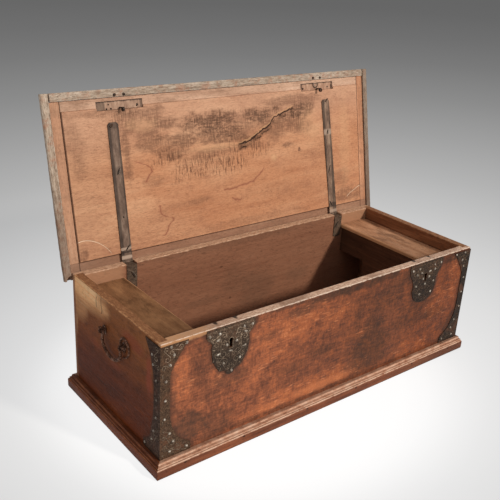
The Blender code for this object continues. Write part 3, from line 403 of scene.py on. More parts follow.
def stains(finish, spots, face, level, ragged, depth=WIDE):
    """The strongest of several ragged marks, each its middle, its reach and its share.

    A face is the axis and direction of a mark's two numbers; level is where it stands on the third axis.
    """
    mask = None
    for spot in spots:
        centre, radii = [level] * 3, [depth] * 3
        for (axis, way), middle, reach in zip(face, spot[:2], spot[2:4]):
            centre[axis], radii[axis] = way * middle * MM, reach * MM
        one = finish.patch(centre, radii, ragged) * spot[4]
        mask = one if mask is None else mask.most(one)
    return mask


print("grain is ready")

# %% [markdown]
# ## The front board
#
# Outside, the front is stained and waxed: orange where hands and sun have worn it, and dark grey-brown
# where dirt gathers under the rim, round the irons and low down. A narrow dark band along the outline of each
# shield and corner iron is painted shade. Its rim and inner face are bare. The marks are placed one by one,
# because even noise never gathers like real dirt. Each is a soft patch with a ragged edge.

# %% Finish the front board
front_low, front_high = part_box("front_board")
CORNER_X, CORNER_Y = 601.9, 291.7
KEYHOLES = (-390, 379)
KEYHOLE_FOOT, KEYHOLE_HEAD = 0.310, 0.343
RIM_NOTCHES = (-427, -364, 336, 408)
SHIELD_OUTLINES = (
    ((232, 0), (241, 12), (249, 29), (260, 41), (277, 51), (300, 58), (326, 61), (336, 59), (344, 64),
     (360, 78), (380, 76)),
    ((239, 0), (245, 27), (250, 36), (265, 49), (277, 54), (290, 55), (322, 59), (331, 64), (348, 74),
     (366, 78), (380, 78)),
)
CORNER_OUTLINE = (
    (45, 92), (68, 90), (80, 74), (92, 57), (103, 50), (120, 41), (139, 33), (177, 26), (277, 26), (299, 27),
    (320, 38), (335, 50), (353, 62), (376, 80),
)
FLANK_OUTLINE = (
    (45, 80), (66, 80), (77, 64), (92, 48), (118, 41), (160, 33), (187, 29), (257, 29), (283, 31), (309, 37),
    (330, 42), (349, 53), (376, 69),
)
WAXED_TONES = (
    (0.36, 76, 42, 28), (0.45, 118, 66, 43), (0.53, 152, 88, 58), (0.61, 184, 104, 64), (0.7, 214, 144, 98),
)
RIM_TONES = ((0.38, 150, 108, 84), (0.48, 204, 166, 140), (0.56, 224, 188, 160), (0.66, 246, 218, 192))
FRONT_GRIME = (
    (-525, 100, 90, 62, 0.85), (-430, 75, 70, 40, 0.6), (150, 150, 95, 115, 0.75), (165, 95, 85, 45, 0.6),
    (100, 375, 200, 17, 0.9), (-120, 378, 190, 10, 0.7), (-480, 300, 45, 100, 0.35),
    (-388, 225, 70, 40, 0.55), (300, 350, 40, 60, 0.6), (375, 235, 80, 30, 0.5), (560, 100, 60, 70, 0.7),
    (590, 230, 25, 190, 0.6), (-585, 220, 35, 210, 0.6), (210, 300, 120, 60, 0.45), (-40, 195, 60, 22, 0.5),
    (-170, 175, 60, 22, 0.35), (-520, 372, 100, 16, 0.6), (520, 368, 100, 18, 0.7), (-330, 370, 60, 14, 0.5),
    (-90, 55, 500, 9, 0.5), (330, 190, 110, 28, 0.4), (-450, 190, 60, 40, 0.25), (90, 240, 25, 110, 0.4),
    (70, 369, 250, 15, 0.9), (-146, 352, 60, 20, 0.6), (-262, 305, 30, 14, 0.4), (448, 182, 60, 26, 0.6),
    (-430, 108, 60, 40, 0.5),
)
FRONT_GLOW = (
    (-545, 275, 42, 75, 0.9), (-200, 285, 140, 30, 0.8), (-120, 320, 110, 55, 0.65), (-235, 245, 50, 22, 0.8),
    (-300, 200, 28, 34, 0.8), (475, 215, 75, 60, 0.8), (540, 300, 40, 70, 0.7), (-60, 92, 230, 32, 0.8),
    (340, 80, 90, 34, 0.65), (-20, 295, 60, 50, 0.8), (-150, 74, 180, 20, 0.9), (-262, 232, 40, 22, 0.5),
    (-430, 235, 35, 40, 0.5), (-480, 165, 18, 18, 0.6), (-280, 335, 50, 40, 0.4), (110, 205, 45, 16, 0.6),
    (-50, 345, 60, 20, 0.5),
)


def front_finish():
    finish = Finish("waxed_front")
    x, y, z = finish.axes
    face, rim_level = front_low.y, front_high.z
    ragged = finish.noise(22, 8, 0.72) * 2.6 - 1.3
    grime = stains(finish, FRONT_GRIME, ON_BOARD, face, ragged)
    glow = stains(finish, FRONT_GLOW, ON_BOARD, face, ragged)
    rubbed = stains(finish, ((-40, 76, 130, 17, 1.0), (-230, 74, 80, 14, 0.7)), ON_BOARD, face, ragged * 0.5)
    blotch = finish.noise((30, 26, 34), 10, 0.74, 0.2)
    streak = finish.noise((14, 60, 170), 5, 0.65)
    weave = finish.noise((170, 60, 60), 4, 0.75) * 0.5 + finish.noise((44, 60, 210), 4, 0.75) * 0.5
    fleck = finish.noise((34, 60, 240), 3, 0.6).soft(0.58, 0.68) * glow.soft(0.0, 0.4)
    tone = (blotch - 0.5) * 0.44 + (streak - 0.5) * 0.10 + (weave - 0.5) * 0.62 + 0.5
    waxed = finish.ramp(tone + glow * 0.09 - grime * 0.05, WAXED_TONES).coat(grime * 0.60, (74, 56, 44))
    waxed = waxed.tint(x.soft(-0.42, 0.16), (0.69, 0.65, 0.57)).tint(x.soft(0.24, 0.40), (0.86, 0.78, 0.68))
    waxed = waxed.coats((rubbed * 0.45, (206, 124, 78)), (fleck * 0.5, (222, 142, 96)))
    # A dark band along each shield's outline: painted shade where the shield meets the board.
    for middle, outline in zip(KEYHOLES, SHIELD_OUTLINES):
        waxed = waxed.coat(finish.line(z, abs(x - middle * MM), outline, 15) * 0.55, (66, 44, 33))
    # The same painted shade along the outline of each corner iron.
    near = finish.line(z, CORNER_X * MM - abs(x), CORNER_OUTLINE, 16)
    waxed = waxed.coat(near * 0.55, (72, 46, 34))
    bare, bare_height = grain(finish, 0, ((120, 78, 54), (176, 126, 90), (214, 168, 130)))
    wear = finish.noise((60, 170, 120), 7, 0.82)
    dim = finish.noise(7).soft(0.50, 0.64) + x.soft(-0.26, -0.50)
    rim = finish.ramp(wear, RIM_TONES).coat(dim.least(1.0) * 0.55, (124, 86, 64))
    corner = stains(finish, ((-560, 378, 90, 9, 1.0), (-486, 379, 50, 7, 0.8)), ON_BOARD, face,
                    (wear - 0.5) * 1.6)
    arris = y.edge(face, 3.4, 1.8) * z.edge(rim_level, -2.4, 0) * wear.soft(0.40, 0.52)
    colour = bare.coats(
        (y.edge(face, 1.6, 0.7), waxed),
        ((z + (wear - 0.5) * 12 * MM).edge(rim_level, -3.0, -1.6) * 0.75, rim),
        (z.edge(rim_level, -1.2, -0.5), rim),
        (corner * 0.75, (206, 152, 106)),
        (arris * 0.7, (248, 226, 206)),
    )
    # Near-black marks on the rim where the lock staples notch it: painted shade standing for the hollow
    # notches.
    for notch_x in RIM_NOTCHES:
        notch_shade = finish.patch((notch_x * MM, front_high.y, rim_level), (7 * MM, 17 * MM, 12 * MM), wear - 0.5)
        colour = colour.coat(notch_shade * 0.95, (24, 15, 11))
    # The walls of each keyhole's bore are painted near black: painted shade inside the hole.
    for hole_x in KEYHOLES:
        keyhole_shade = abs(x - hole_x * MM).edge(0, 8.5, 7.5) * y.edge(face, 0.6, 1.2)
        colour = colour.coat(keyhole_shade * z.edge(KEYHOLE_FOOT, -1, 1) * z.edge(KEYHOLE_HEAD, 1, -1), (10, 7, 5))
    height = blotch * 0.5 + streak * 0.5 + bare_height * 0.2
    return finish.done(colour, blotch * 0.5 + 0.30 + grime * 0.1, height, 1.2 * MM, sheen=0.22)


def dress(material, *nodes):
    """Give one finish to one or more solids."""
    for node in nodes:
        worn = solids[node].data.materials
        worn.clear()
        worn.append(material)


dress(front_finish(), "front_board")
print("front board:", len(FRONT_GRIME), "dark marks and", len(FRONT_GLOW), "bright ones")

# %% [markdown]
# ## The other boards
#
# The left end has faded to tan where it faced a window and is nearly black-brown below. The back board's
# inner face, the tills and the bottom never saw wax. Each board gets the same grain with its own tones, and
# the few marks that it has on the real trunk.

# %% Finish the ends, the back, the bottom and the plinth
LEFT_MARKS = (
    (120, 362, 130, 62, 1.0), (40, 348, 70, 34, 0.7), (150, 310, 60, 56, 0.75), (178, 250, 14, 60, 0.5),
)
LEFT_RED = (
    (-235, 265, 17, 60, 0.8), (-150, 325, 60, 24, 0.6), (-60, 205, 30, 10, 0.3), (60, 220, 50, 14, 0.3),
)
LEFT_CRACKS = (((15, 383), (17, 360), (13, 342), (21, 330)), ((43, 371), (46, 352), (41, 338)))
BACK_DULL = (
    (60, 180, 90, 90, 0.7), (240, 190, 60, 30, 0.6), (-30, 230, 60, 70, 0.5), (-150, 185, 90, 16, 0.5),
    (0, 375, 420, 16, 0.5),
)
BACK_KNOTS = ((-92, 295, 9, 4, 1.0), (-50, 172, 5, 6, 0.8), (-165, 360, 8, 3, 0.7))
PLINTH_FACE = -0.310
PLINTH_HOLES = ((-535, 24), (-343, 25), (-109, 25), (94, 24), (355, 24), (541, 24))


def end_finish(name, faded=(), crack_marks=()):
    """An end board, waxed dark outside; faded marks are where it has gone tan."""
    finish = Finish(name)
    low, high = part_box("left_end_board")
    x, y, z = finish.axes
    face = abs(low.x)
    ragged = finish.noise((20, 9, 24), 8, 0.62) * 1.5 - 0.75
    dark, dark_height = grain(finish, 1, ((74, 29, 9), (108, 47, 16), (142, 71, 27)), 0.7)
    tan, tan_height = grain(finish, 1, ((206, 132, 84), (254, 188, 130), (255, 214, 164)), 0.6)
    mottled = finish.noise((30, 24, 40), 8, 0.75)
    colour = dark.coats(
        ((z + ragged * 0.05).soft(0.14, 0.44) * 0.70, (164, 106, 62)),
        (mottled.soft(0.47, 0.66) * 0.45, (66, 32, 13)),
        # A dark band along the corner iron's outline on the end board: painted shade.
        (finish.line(z, y + CORNER_Y * MM, FLANK_OUTLINE, 14) * 0.5, (56, 32, 20)),
        (stains(finish, LEFT_RED, ON_END, low.x, ragged), (148, 72, 48)),
    )
    if faded:
        tan = tan.coat(z.soft(0.366, 0.296) * 0.5, (138, 88, 58))
        colour = colour.coat(stains(finish, faded, ON_END, low.x, ragged * 0.5), tan)
    height = dark_height + tan_height * 0.5
    for points in crack_marks:
        crack = finish.line(z, y, [(up, along) for along, up in reversed(points)], 2.2)
        colour = colour.coat(crack * 0.8, (52, 28, 18))
        height = height - crack * 0.9
    bare, _ = grain(finish, 1, ((96, 60, 40), (140, 92, 62), (176, 122, 86)))
    wear = finish.noise((170, 60, 120), 7, 0.82)
    rim = finish.spread(wear, ((122, 80, 54), (144, 97, 65), (172, 124, 86)), 0.12)
    arris = abs(x).edge(face, -4.5, -1.8) * z.edge(high.z, -4, 0) * wear.soft(0.42, 0.56)
    colour = bare.coats(
        (abs(x).edge(face, -1.6, -0.7), colour),
        ((z + (wear - 0.5) * 8 * MM).edge(high.z, -2.6, -1.2), rim),
        (arris * 0.8, (214, 156, 108)),
    )
    return finish.done(colour, wear * 0.4 + 0.38, height, 1.0 * MM, sheen=0.1)


def plain_finish(name, along, tones):
    """Bare or lightly stained wood with nothing on it but its grain and a few dark spots."""
    finish = Finish(name)
    colour, height = grain(finish, along, tones)
    spots = finish.noise(35, 6, 0.75)
    colour = colour.coat(spots.soft(0.56, 0.72) * 0.5, dimmed(tones[0], 0.5))
    return finish.done(colour, spots * 0.3 + 0.47, height, 0.7 * MM)


def back_finish():
    """The back board: bare and dusty inside, dark and dry outside."""
    finish = Finish("bare_back")
    low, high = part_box("back_board")
    x, y, z = finish.axes
    ragged = finish.noise((6, 12, 16), 7, 0.6) * 2 - 1
    inside, inside_height = grain(finish, 0, ((140, 92, 68), (152, 103, 77), (162, 112, 85)))
    outside, outside_height = grain(finish, 0, ((66, 40, 30), (96, 60, 42), (126, 82, 58)), 0.6)
    speckle = finish.noise((70, 70, 90), 7, 0.85)
    beside = abs(x + 5 * MM).soft(0.43, 0.46) * z.soft(0.30, 0.36)
    wear = finish.noise((60, 150, 120), 7, 0.82)
    rim = finish.spread(wear, ((146, 102, 78), (200, 156, 124), (226, 186, 154)), 0.14)
    colour = inside.coats(
        (speckle.soft(0.5, 0.66) * 0.4, (104, 66, 48)),
        (beside * 0.8, (186, 138, 104)),
        (stains(finish, BACK_DULL, ON_BOARD, low.y, ragged) * 0.45, (96, 72, 56)),
        (stains(finish, BACK_KNOTS, ON_BOARD, low.y, ragged * 0.3) * 0.6, (70, 42, 30)),
        (y.edge(high.y, -2, -1), outside),
        ((z + (wear - 0.5) * 9 * MM).edge(high.z, -3.4, -1.8), rim),
    )
    return finish.done(colour, wear * 0.3 + 0.5, inside_height + outside_height * 0.5, 0.8 * MM)


def plinth_finish(name, along, tones, rubs, bright):
    """The plinth: waxed brown, rubbed pale along its stepped top and dark in its corners."""
    finish = Finish(name)
    x, _, z = finish.axes
    stained, height = grain(finish, along, tones, 0.6)
    wear = finish.noise((26, 26, 60), 8, 0.8)
    rubbed = finish.spread(wear, rubs, 0.14)
    colour = stained.coat((z + (wear - 0.5) * 6 * MM).edge(0, 26, 30) * 0.85, rubbed)
    for groove, depth in ((31.6, 0.6), (37.0, 0.4), (44.6, 0.4)):
        colour = colour.coat(abs(z - groove * MM).edge(0, 1.5, 0.5) * depth, (74, 42, 30))
    for bead, share in ((29.4, 0.4), (34.0, 0.3), (40.8, 0.4)):
        thin = abs(z - bead * MM).edge(0, 1.0, 0.3) * wear.soft(0.40, 0.54)
        colour = colour.coat(thin * share, bright)
    holes = stains(finish, [(*spot, 5, 3.2, 1.0) for spot in PLINTH_HOLES], ON_BOARD, PLINTH_FACE,
                   (wear - 0.5) * 0.8, depth=30 * MM)
    colour = colour.coats(
        (holes * 0.85, (38, 22, 16)),
        (z.edge(0, 7, 1) * 0.4, (60, 38, 28)),
        (x.soft(0.05, 0.52) * z.edge(0, 30, 26) * 0.5, (66, 42, 30)),
    )
    return finish.done(colour, wear * 0.35 + 0.35, height + wear * 0.8 - holes * 0.8, 1.0 * MM, sheen=0.12)


def till_lid_finish(name, middle, tones):
    """A till lid: a painted highlight along both long edges, painted shade towards the front board, and
    stains where things stood on it.
    """
    finish = Finish(name)
    x, y, _ = finish.axes
    colour, height = grain(finish, 1, tones, 0.7)
    blur = finish.noise((16, 7, 16), 7, 0.7)
    colour = colour.coats(
        (blur.soft(0.49, 0.64) * 0.6, dimmed(tones[0], 0.72)),
        (blur.soft(0.50, 0.36) * 0.4, dimmed(tones[2], 1.12)),
        # A pale line along both long edges: a painted highlight where the nosings catch the light.
        ((abs(x - middle * MM) + (blur - 0.5) * 8 * MM).edge(0, 57, 61) * 0.85, (220, 166, 120)),
        # Darker towards the front board: painted shade.
        (y.soft(0.08, -0.22) * 0.4, dimmed(tones[0], 0.78)),
    )
    return finish.done(colour, blur * 0.3 + 0.5, height, 0.8 * MM)


dress(end_finish("faded_left_end", LEFT_MARKS, LEFT_CRACKS), "left_end_board")
dress(end_finish("waxed_right_end"), "right_end_board")
dress(back_finish(), "back_board")
dress(plain_finish("bare_bottom", 0, ((70, 46, 33), (104, 70, 50), (134, 94, 68))),
      "bottom_board_front", "bottom_board_middle", "bottom_board_rear")
dress(plinth_finish("rubbed_plinth_long", 0, ((76, 42, 28), (126, 72, 48), (166, 102, 68)),
                    ((168, 112, 84), (214, 164, 134), (240, 200, 172)), (252, 226, 202)),
      "plinth_front", "plinth_back")
dress(plinth_finish("rubbed_plinth_short", 1, ((76, 32, 14), (116, 54, 24), (148, 76, 36)),
                    ((84, 44, 24), (126, 68, 38), (160, 96, 58)), (186, 122, 84)),
      "plinth_left", "plinth_right")
dress(till_lid_finish("brown_till_lid", -509, ((100, 66, 40), (138, 96, 64), (166, 122, 84))),
      "till_lid_left")
dress(till_lid_finish("tan_till_lid", 509, ((142, 96, 66), (186, 134, 98), (214, 164, 128))),
      "till_lid_right")
dress(plain_finish("till_walls", 1, ((66, 42, 30), (94, 62, 44), (122, 84, 60))),
      "till_wall_left", "partition_right", "till_bottom_left", "till_bottom_right")
print("carcass boards dressed")

# %% [markdown]
# ## The inside of the lid
#
# The lid's panel never saw polish. It is pale and pinkish, with a cloud of dark water stain across its
# upper half, rows of upright saw marks, a long resin crack, thin red tide lines and two scratches in arcs.
# The drawn ones follow curves, each a few places that a Float Curve node joins smoothly.

# %% Finish the lid's panel
PANEL_CLOUD = (
    (-75, 380, 110, 34, 0.95), (-30, 345, 110, 26, 0.8), (120, 385, 90, 30, 0.85), (205, 355, 85, 34, 0.6),
    (325, 392, 45, 30, 0.7), (-275, 352, 42, 20, 0.7), (-250, 312, 70, 22, 0.5), (-350, 415, 70, 34, 0.35),
    (-540, 300, 30, 44, 0.3), (-545, 380, 34, 60, 0.3), (-385, 445, 60, 14, 0.5), (-150, 385, 35, 34, 0.6),
    (60, 312, 60, 16, 0.45), (235, 275, 34, 10, 0.6), (282, 252, 9, 9, 0.9), (-170, 140, 90, 14, 0.3),
    (-300, 225, 40, 20, 0.25), (-330, 370, 40, 40, 0.3), (250, 420, 140, 18, 0.5), (-425, 300, 25, 140, 0.3),
    (420, 300, 22, 150, 0.22), (-555, 45, 16, 22, 0.5), (-480, 440, 90, 12, 0.4), (180, 130, 160, 30, 0.12),
    (500, 62, 90, 34, 0.5), (-370, 405, 46, 46, 0.5), (-290, 420, 50, 40, 0.5), (20, 350, 120, 50, 0.5),
    (180, 330, 60, 50, 0.4), (40, 45, 260, 16, 0.25), (-300, 350, 62, 46, 0.55), (-255, 392, 50, 26, 0.6),
    (-200, 332, 70, 26, 0.65), (-235, 300, 80, 22, 0.5), (-110, 285, 90, 20, 0.4), (-20, 328, 120, 24, 0.7),
    (285, 382, 52, 40, 0.9), (275, 330, 70, 26, 0.5), (-372, 436, 60, 20, 0.6), (462, 130, 60, 40, 0.3),
    (-30, 290, 150, 16, 0.4), (-386, 330, 16, 110, 0.5), (180, 330, 60, 30, 0.5),
)
PANEL_TICKS = (
    (-265, 285, 60, 30, 0.9), (30, 300, 110, 22, 0.8), (-160, 250, 110, 44, 1.0), (-40, 250, 100, 46, 1.0),
    (90, 270, 70, 26, 0.9), (-60, 400, 120, 20, 0.5), (-190, 300, 60, 20, 0.5), (280, 360, 30, 50, 0.6),
    (-370, 420, 60, 30, 0.4),
)
PANEL_PALE = (
    (165, 238, 18, 14, 0.9), (-60, 300, 120, 12, 0.4), (-330, 395, 60, 22, 0.4), (330, 340, 50, 60, 0.3),
    (500, 260, 30, 160, 0.35),
)
PANEL_CRACK = ((22, 297), (60, 305), (100, 322), (130, 338), (155, 348), (172, 368), (205, 380), (262, 397))
PANEL_TIDES = (
    ("along", ((-50, 162), (-10, 160), (20, 165), (60, 170), (95, 188), (122, 212))),
    ("across", ((52, -288), (70, -272), (88, -262), (98, -248), (112, -276), (130, -292), (150, -293))),
    ("across", ((225, -330), (245, -318), (258, -308), (268, -312), (282, -338), (292, -362))),
    ("along", ((-20, 128), (0, 120), (10, 118), (20, 132))),
)
PANEL_SCRATCHES = (
    ("along", ((-572, 86), (-548, 88), (-520, 80), (-495, 64), (-470, 36))),
    ("along", ((502, 52), (520, 64), (540, 72), (558, 80), (571, 84))),
    ("across", ((60, 578), (70, 574), (84, 571))),
)


CLAMP_SEAM, RAIL_SEAM, MOULDING_JOINT, FRONT_JOINT = 0.5733, 0.0268, 0.6023, 0.480
TOPSIDE_TONES = ((74, 46, 34), (108, 68, 48), (138, 92, 64))


def stained_topside(finish, along, colour):
    """The lid's dark top side, which shows when the lid is shut, laid over the finish of its underside."""
    topside, _ = grain(finish, along, TOPSIDE_TONES, 0.6)
    return colour.coat(finish.axes[2].edge(LID_SEAT, 9, 12), topside)


def panel_finish():
    finish = Finish("stained_lid_panel", lid_place)
    x, y, _ = finish.axes
    forward = 0 - y
    ways = {"along": (x, forward), "across": (forward, x)}
    ragged = finish.noise((13, 22, 10), 9, 0.72) * 2.8 - 1.4
    colour, height = grain(finish, 0, ((176, 120, 88), (208, 150, 112), (226, 172, 132)), 0.75)
    drift = finish.noise((2.2, 3.5, 3), 2)
    fine = finish.noise((80, 190, 60), 6, 0.85)
    smudge = finish.noise((18, 30, 18), 8, 0.8)
    colour = colour.coats(
        (drift.soft(0.40, 0.62) * 0.45, (200, 130, 88)),
        (x.soft(-0.30, -0.62) * 0.35, (186, 146, 116)),
        (forward.soft(0.27, 0.45) * 0.40, (212, 170, 144)),
        (fine.soft(0.50, 0.64) * 0.28, (146, 98, 72)),
        (fine.soft(0.50, 0.36) * 0.14, (234, 186, 146)),
        (smudge.soft(0.50, 0.64) * 0.34, (158, 106, 80)),
    )
    cloud = stains(finish, PANEL_CLOUD, ON_PANEL, 0, ragged)
    swept = finish.vector("MULTIPLY", finish.place, (34, 150, 60))
    swept = finish.vector("ADD", swept, finish.noise(9) * 4.0)
    ticks = finish.noise((230, 26, 30), 4, 0.75)
    mottled = finish.noise(1.0, 7, 0.85, place=swept) * 0.62 + ticks * 0.38
    tick_marks = stains(finish, PANEL_TICKS, ON_PANEL, 0, ragged) * ticks.soft(0.50, 0.60)
    colour = colour.coats(
        (cloud.soft(0.0, 0.5) * 0.22, (176, 122, 92)),
        ((cloud * 1.15).least(1.0) * mottled.soft(0.38, 0.55) * 0.86, (84, 58, 45)),
        (tick_marks * 0.80, (100, 66, 48)),
        (stains(finish, PANEL_PALE, ON_PANEL, 0, ragged) * 0.5, (232, 184, 138)),
    )
    wobble = (finish.noise(60, 4) - 0.5) * 14 * MM
    for way, points in PANEL_TIDES:
        along, across = ways[way]
        for width, share, tone in ((9, 0.35, (164, 104, 78)), (3.2, 0.55, (136, 74, 56))):
            colour = colour.coat(finish.line(along, across + wobble, points, width) * share, tone)
    broken = finish.noise(26, 6, 0.8)
    halo = finish.line(x, forward + wobble + 5 * MM, PANEL_CRACK, 20) * broken.soft(0.34, 0.58)
    lip = finish.line(x, forward + wobble * 1.2 - 6 * MM, PANEL_CRACK, 3.4) * broken.soft(0.36, 0.50)
    crack = finish.line(x, forward + wobble * 1.4, PANEL_CRACK, 4.4)
    beside = finish.line(x, forward + wobble * 2.2 + 13 * MM, PANEL_CRACK, 2.4) * broken.soft(0.44, 0.56)
    crack = crack.most(beside)
    colour = colour.coats(
        (halo * 0.75, (96, 66, 48)),
        (lip * 0.55, (226, 172, 126)),
        (crack * 0.92, (46, 29, 21)),
    )
    height = height + fine * 0.4 - tick_marks * 0.5 - crack * 1.4
    for way, points in PANEL_SCRATCHES:
        scratch = finish.line(*ways[way], points, 1.9)
        colour = colour.coat(scratch * 0.8, (246, 214, 182))
        height = height - scratch * 0.8
    # A dark line round the panel's edges: a dark joint with painted shade where the panel steps to its frame.
    border = abs(x).soft(0.5690, 0.5705).most(forward.soft(0.0300, 0.0285))
    colour = stained_topside(finish, 0, colour.coat(border * 0.75, (64, 38, 27)))
    return finish.done(colour, cloud * 0.1 + 0.62, height, 0.9 * MM)


dress(panel_finish(), "lid_panel")
print("panel: crack of", len(PANEL_CRACK), "places and", len(PANEL_CLOUD), "stains")

# %% [markdown]
# ## The lid's frame
#
# Rails and end clamps are of the same pale wood, the clamps with their grain across. The mouldings round
# them are grey with weather and handling, and rough along their arris.

# %% Finish the lid's rails, clamps and mouldings
def frame_finish(name, along, tones):
    """A rail or clamp: pale inside, dark on the top side that shows when the lid is shut."""
    finish = Finish(name, lid_place)
    x, y, _ = finish.axes
    colour, height = grain(finish, along, tones, 0.6)
    smudge = finish.noise((9, 14, 9), 7, 0.7)
    speckle = finish.noise((90, 130, 90), 6, 0.85)
    seam = abs(abs(x) - CLAMP_SEAM).edge(0, 2.2, 0.8)
    seam = seam.most(abs(y + RAIL_SEAM).edge(0, 2.0, 0.8)) * abs(x).soft(0.577, 0.575)
    colour = colour.coats(
        (smudge.soft(0.5, 0.68) * 0.5, (140, 104, 82)),
        ((x + (smudge - 0.5) * 0.3).soft(-0.42, -0.62) * 0.35, (170, 142, 120)),
        (speckle.soft(0.5, 0.64) * 0.35, (136, 96, 72)),
        (y.soft(-0.10, 0.0) * 0.35, (136, 96, 72)),
        (seam * 0.7, (60, 37, 27)),
    )
    return finish.done(stained_topside(finish, along, colour), smudge * 0.3 + 0.5, height, 0.8 * MM)


def moulding_finish(name, along, dirt):
    """A moulding round the lid: grey and rough, with a share of dirt over it."""
    finish = Finish(name, lid_place)
    x, y, _ = finish.axes
    colour, height = grain(finish, along, ((150, 126, 106), (186, 164, 143), (212, 192, 172)))
    rough = finish.noise(tuple(34 if axis == along else 150 for axis in range(3)), 7, 0.85)
    worn = finish.noise(30, 6, 0.75)
    hole = finish.patch((0.592, -0.468, 0), (9 * MM, 9 * MM, WIDE), (worn - 0.5) * 1.4)
    joint = abs(abs(x) - MOULDING_JOINT).edge(0, 1.8, 0.6) * y.edge(-FRONT_JOINT, 1, -1)
    colour = colour.coats(
        (rough.soft(0.50, 0.60) * 0.68, (118, 92, 76)),
        (rough.soft(0.49, 0.38) * 0.4, (226, 210, 194)),
        (worn.soft(0.49, 0.64) * 0.6, (176, 122, 96)),
        (y.soft(-0.30, -0.06) * abs(x).soft(0.55, 0.60) * 0.6, (112, 80, 62)),
        (dirt, (112, 88, 72)),
        (hole * 0.9, (30, 20, 15)),
        (joint * 0.85, (58, 38, 29)),
    )
    return finish.done(colour, worn * 0.3 + 0.55, height + rough * 1.2, 1.4 * MM)


dress(frame_finish("front_rail_wood", 0, ((178, 134, 108), (210, 168, 140), (232, 194, 166))),
      "lid_front_rail")
dress(frame_finish("hinge_rail_wood", 0, ((138, 100, 78), (170, 125, 99), (198, 154, 124))),
      "lid_hinge_rail")
dress(frame_finish("clamp_wood", 1, ((172, 116, 84), (206, 146, 110), (228, 176, 140))),
      "lid_left_clamp", "lid_right_clamp")
for side, along, dirt in (("front", 0, 0.0), ("left", 1, 0.0), ("right", 1, 0.55)):
    dress(moulding_finish(f"weathered_{side}_moulding", along, dirt), f"lid_{side}_moulding")
print("lid frame dressed")

# %% [markdown]
# ## Worn arrises
#
# The mouldings' edges have been knocked and rubbed for a long time. The clean solid is recast in small even
# cells, and two sizes of dents are pressed in. Dents only go inwards, so nothing grows past its neighbours.

# %% Wear the mouldings
def wear_down(node, cell, dents):
    """Recast a solid in even cells and dent it; each dent is its size and depth in millimetres."""
    worn = solids[node]
    recast = worn.modifiers.new("recast", "REMESH")
    recast.mode, recast.voxel_size = "VOXEL", cell * MM
    for size, depth in dents:
        clouds = bpy.data.textures.new(f"{node}_dents_{size}", "CLOUDS")
        clouds.noise_scale = size * MM
        dent = worn.modifiers.new("dents", "DISPLACE")
        dent.texture, dent.strength, dent.mid_level = clouds, -depth * MM, 0.0


for side in ("front", "left", "right"):
    wear_down(f"lid_{side}_moulding", 3.0, ((30, 1.4), (9, 0.9)))
print("mouldings worn")

# %% [markdown]
# ## Forged iron
#
# The shields and corner irons are old iron: nearly black in the pits, grey-brown on the high places, with
# rust between. The straps inside the lid are plainer and lighter. Noise at three scales gives pits, scale
# and rust.

# %% Finish the ironwork
IRON_TURN = front_low.y + 0.5 * MM


def iron_finish(name, tones, rust, pits=0.5, shine=0.45, rise=0.6, shade=0.0, flank=False):
    """Old iron from pits to high places; shade darkens it low down, and flank paints shade on the part lying
    on the end board.
    """
    finish = Finish(name)
    _, y, z = finish.axes
    scale, pitted, bloom = finish.noise(110, 7, 0.8), finish.noise(380, 3, 0.6), finish.noise(30, 6, 0.7)
    tone = scale * (1 - pits) + pitted * pits
    rusty = bloom.soft(0.48, 0.66) * rust
    colour = finish.spread(tone, tones, 0.08).coat(rusty, (112, 70, 46))
    if shade:
        colour = colour.coat(z.soft(0.345, 0.290) * shade, dimmed(tones[0], 0.5))
    # Painted shade: the flank that lies on the end board is dimmed and warmed.
    if flank:
        colour = colour.tint(y.edge(IRON_TURN, -1, 0), (0.62, 0.44, 0.28))
    metallic = tone.soft(0.42, 0.60) * (1 - rusty) * 0.4
    roughness = 0.85 - tone.soft(0.42, 0.66) * shine
    return finish.done(colour, roughness, scale * 0.5 + pitted * 0.7, rise * MM, metallic, sheen=0.3)


def strap_finish(name, middle, half, tones, light_and_wear_bands):
    """Plain iron on the lid: painted shade along its edges, and pale and dark bands across it that mix rubbed
    wear and dirt with painted highlights and shadows.
    """
    finish = Finish(name, lid_place)
    x, y, _ = finish.axes
    worn = finish.noise((50, 16, 50), 8, 0.75)
    # Darker along the edges: painted shade where the iron meets the wood round it.
    edge = (abs(x - middle * MM) + (worn - 0.5) * 6 * MM).edge(0, half - 5, half - 1)
    colour = finish.spread(worn, tones, 0.14).coat(edge * 0.6, dimmed(tones[0], 0.45))
    # Pale bands are partly rubbed wear and partly painted highlights where the strap bends; dark ones are
    # partly dirt and partly painted shadow at nails and at the link plates' outlines.
    for forward, wide, share in light_and_wear_bands:
        light_and_wear_band = (abs(y + forward * MM) + (worn - 0.5) * 10 * MM).edge(0, wide, wide * 0.4)
        colour = colour.coat(light_and_wear_band * abs(share), (206, 178, 156) if share > 0 else (50, 36, 29))
    return finish.done(colour, worn * 0.4 + 0.42, worn, 0.8 * MM, sheen=0.25)


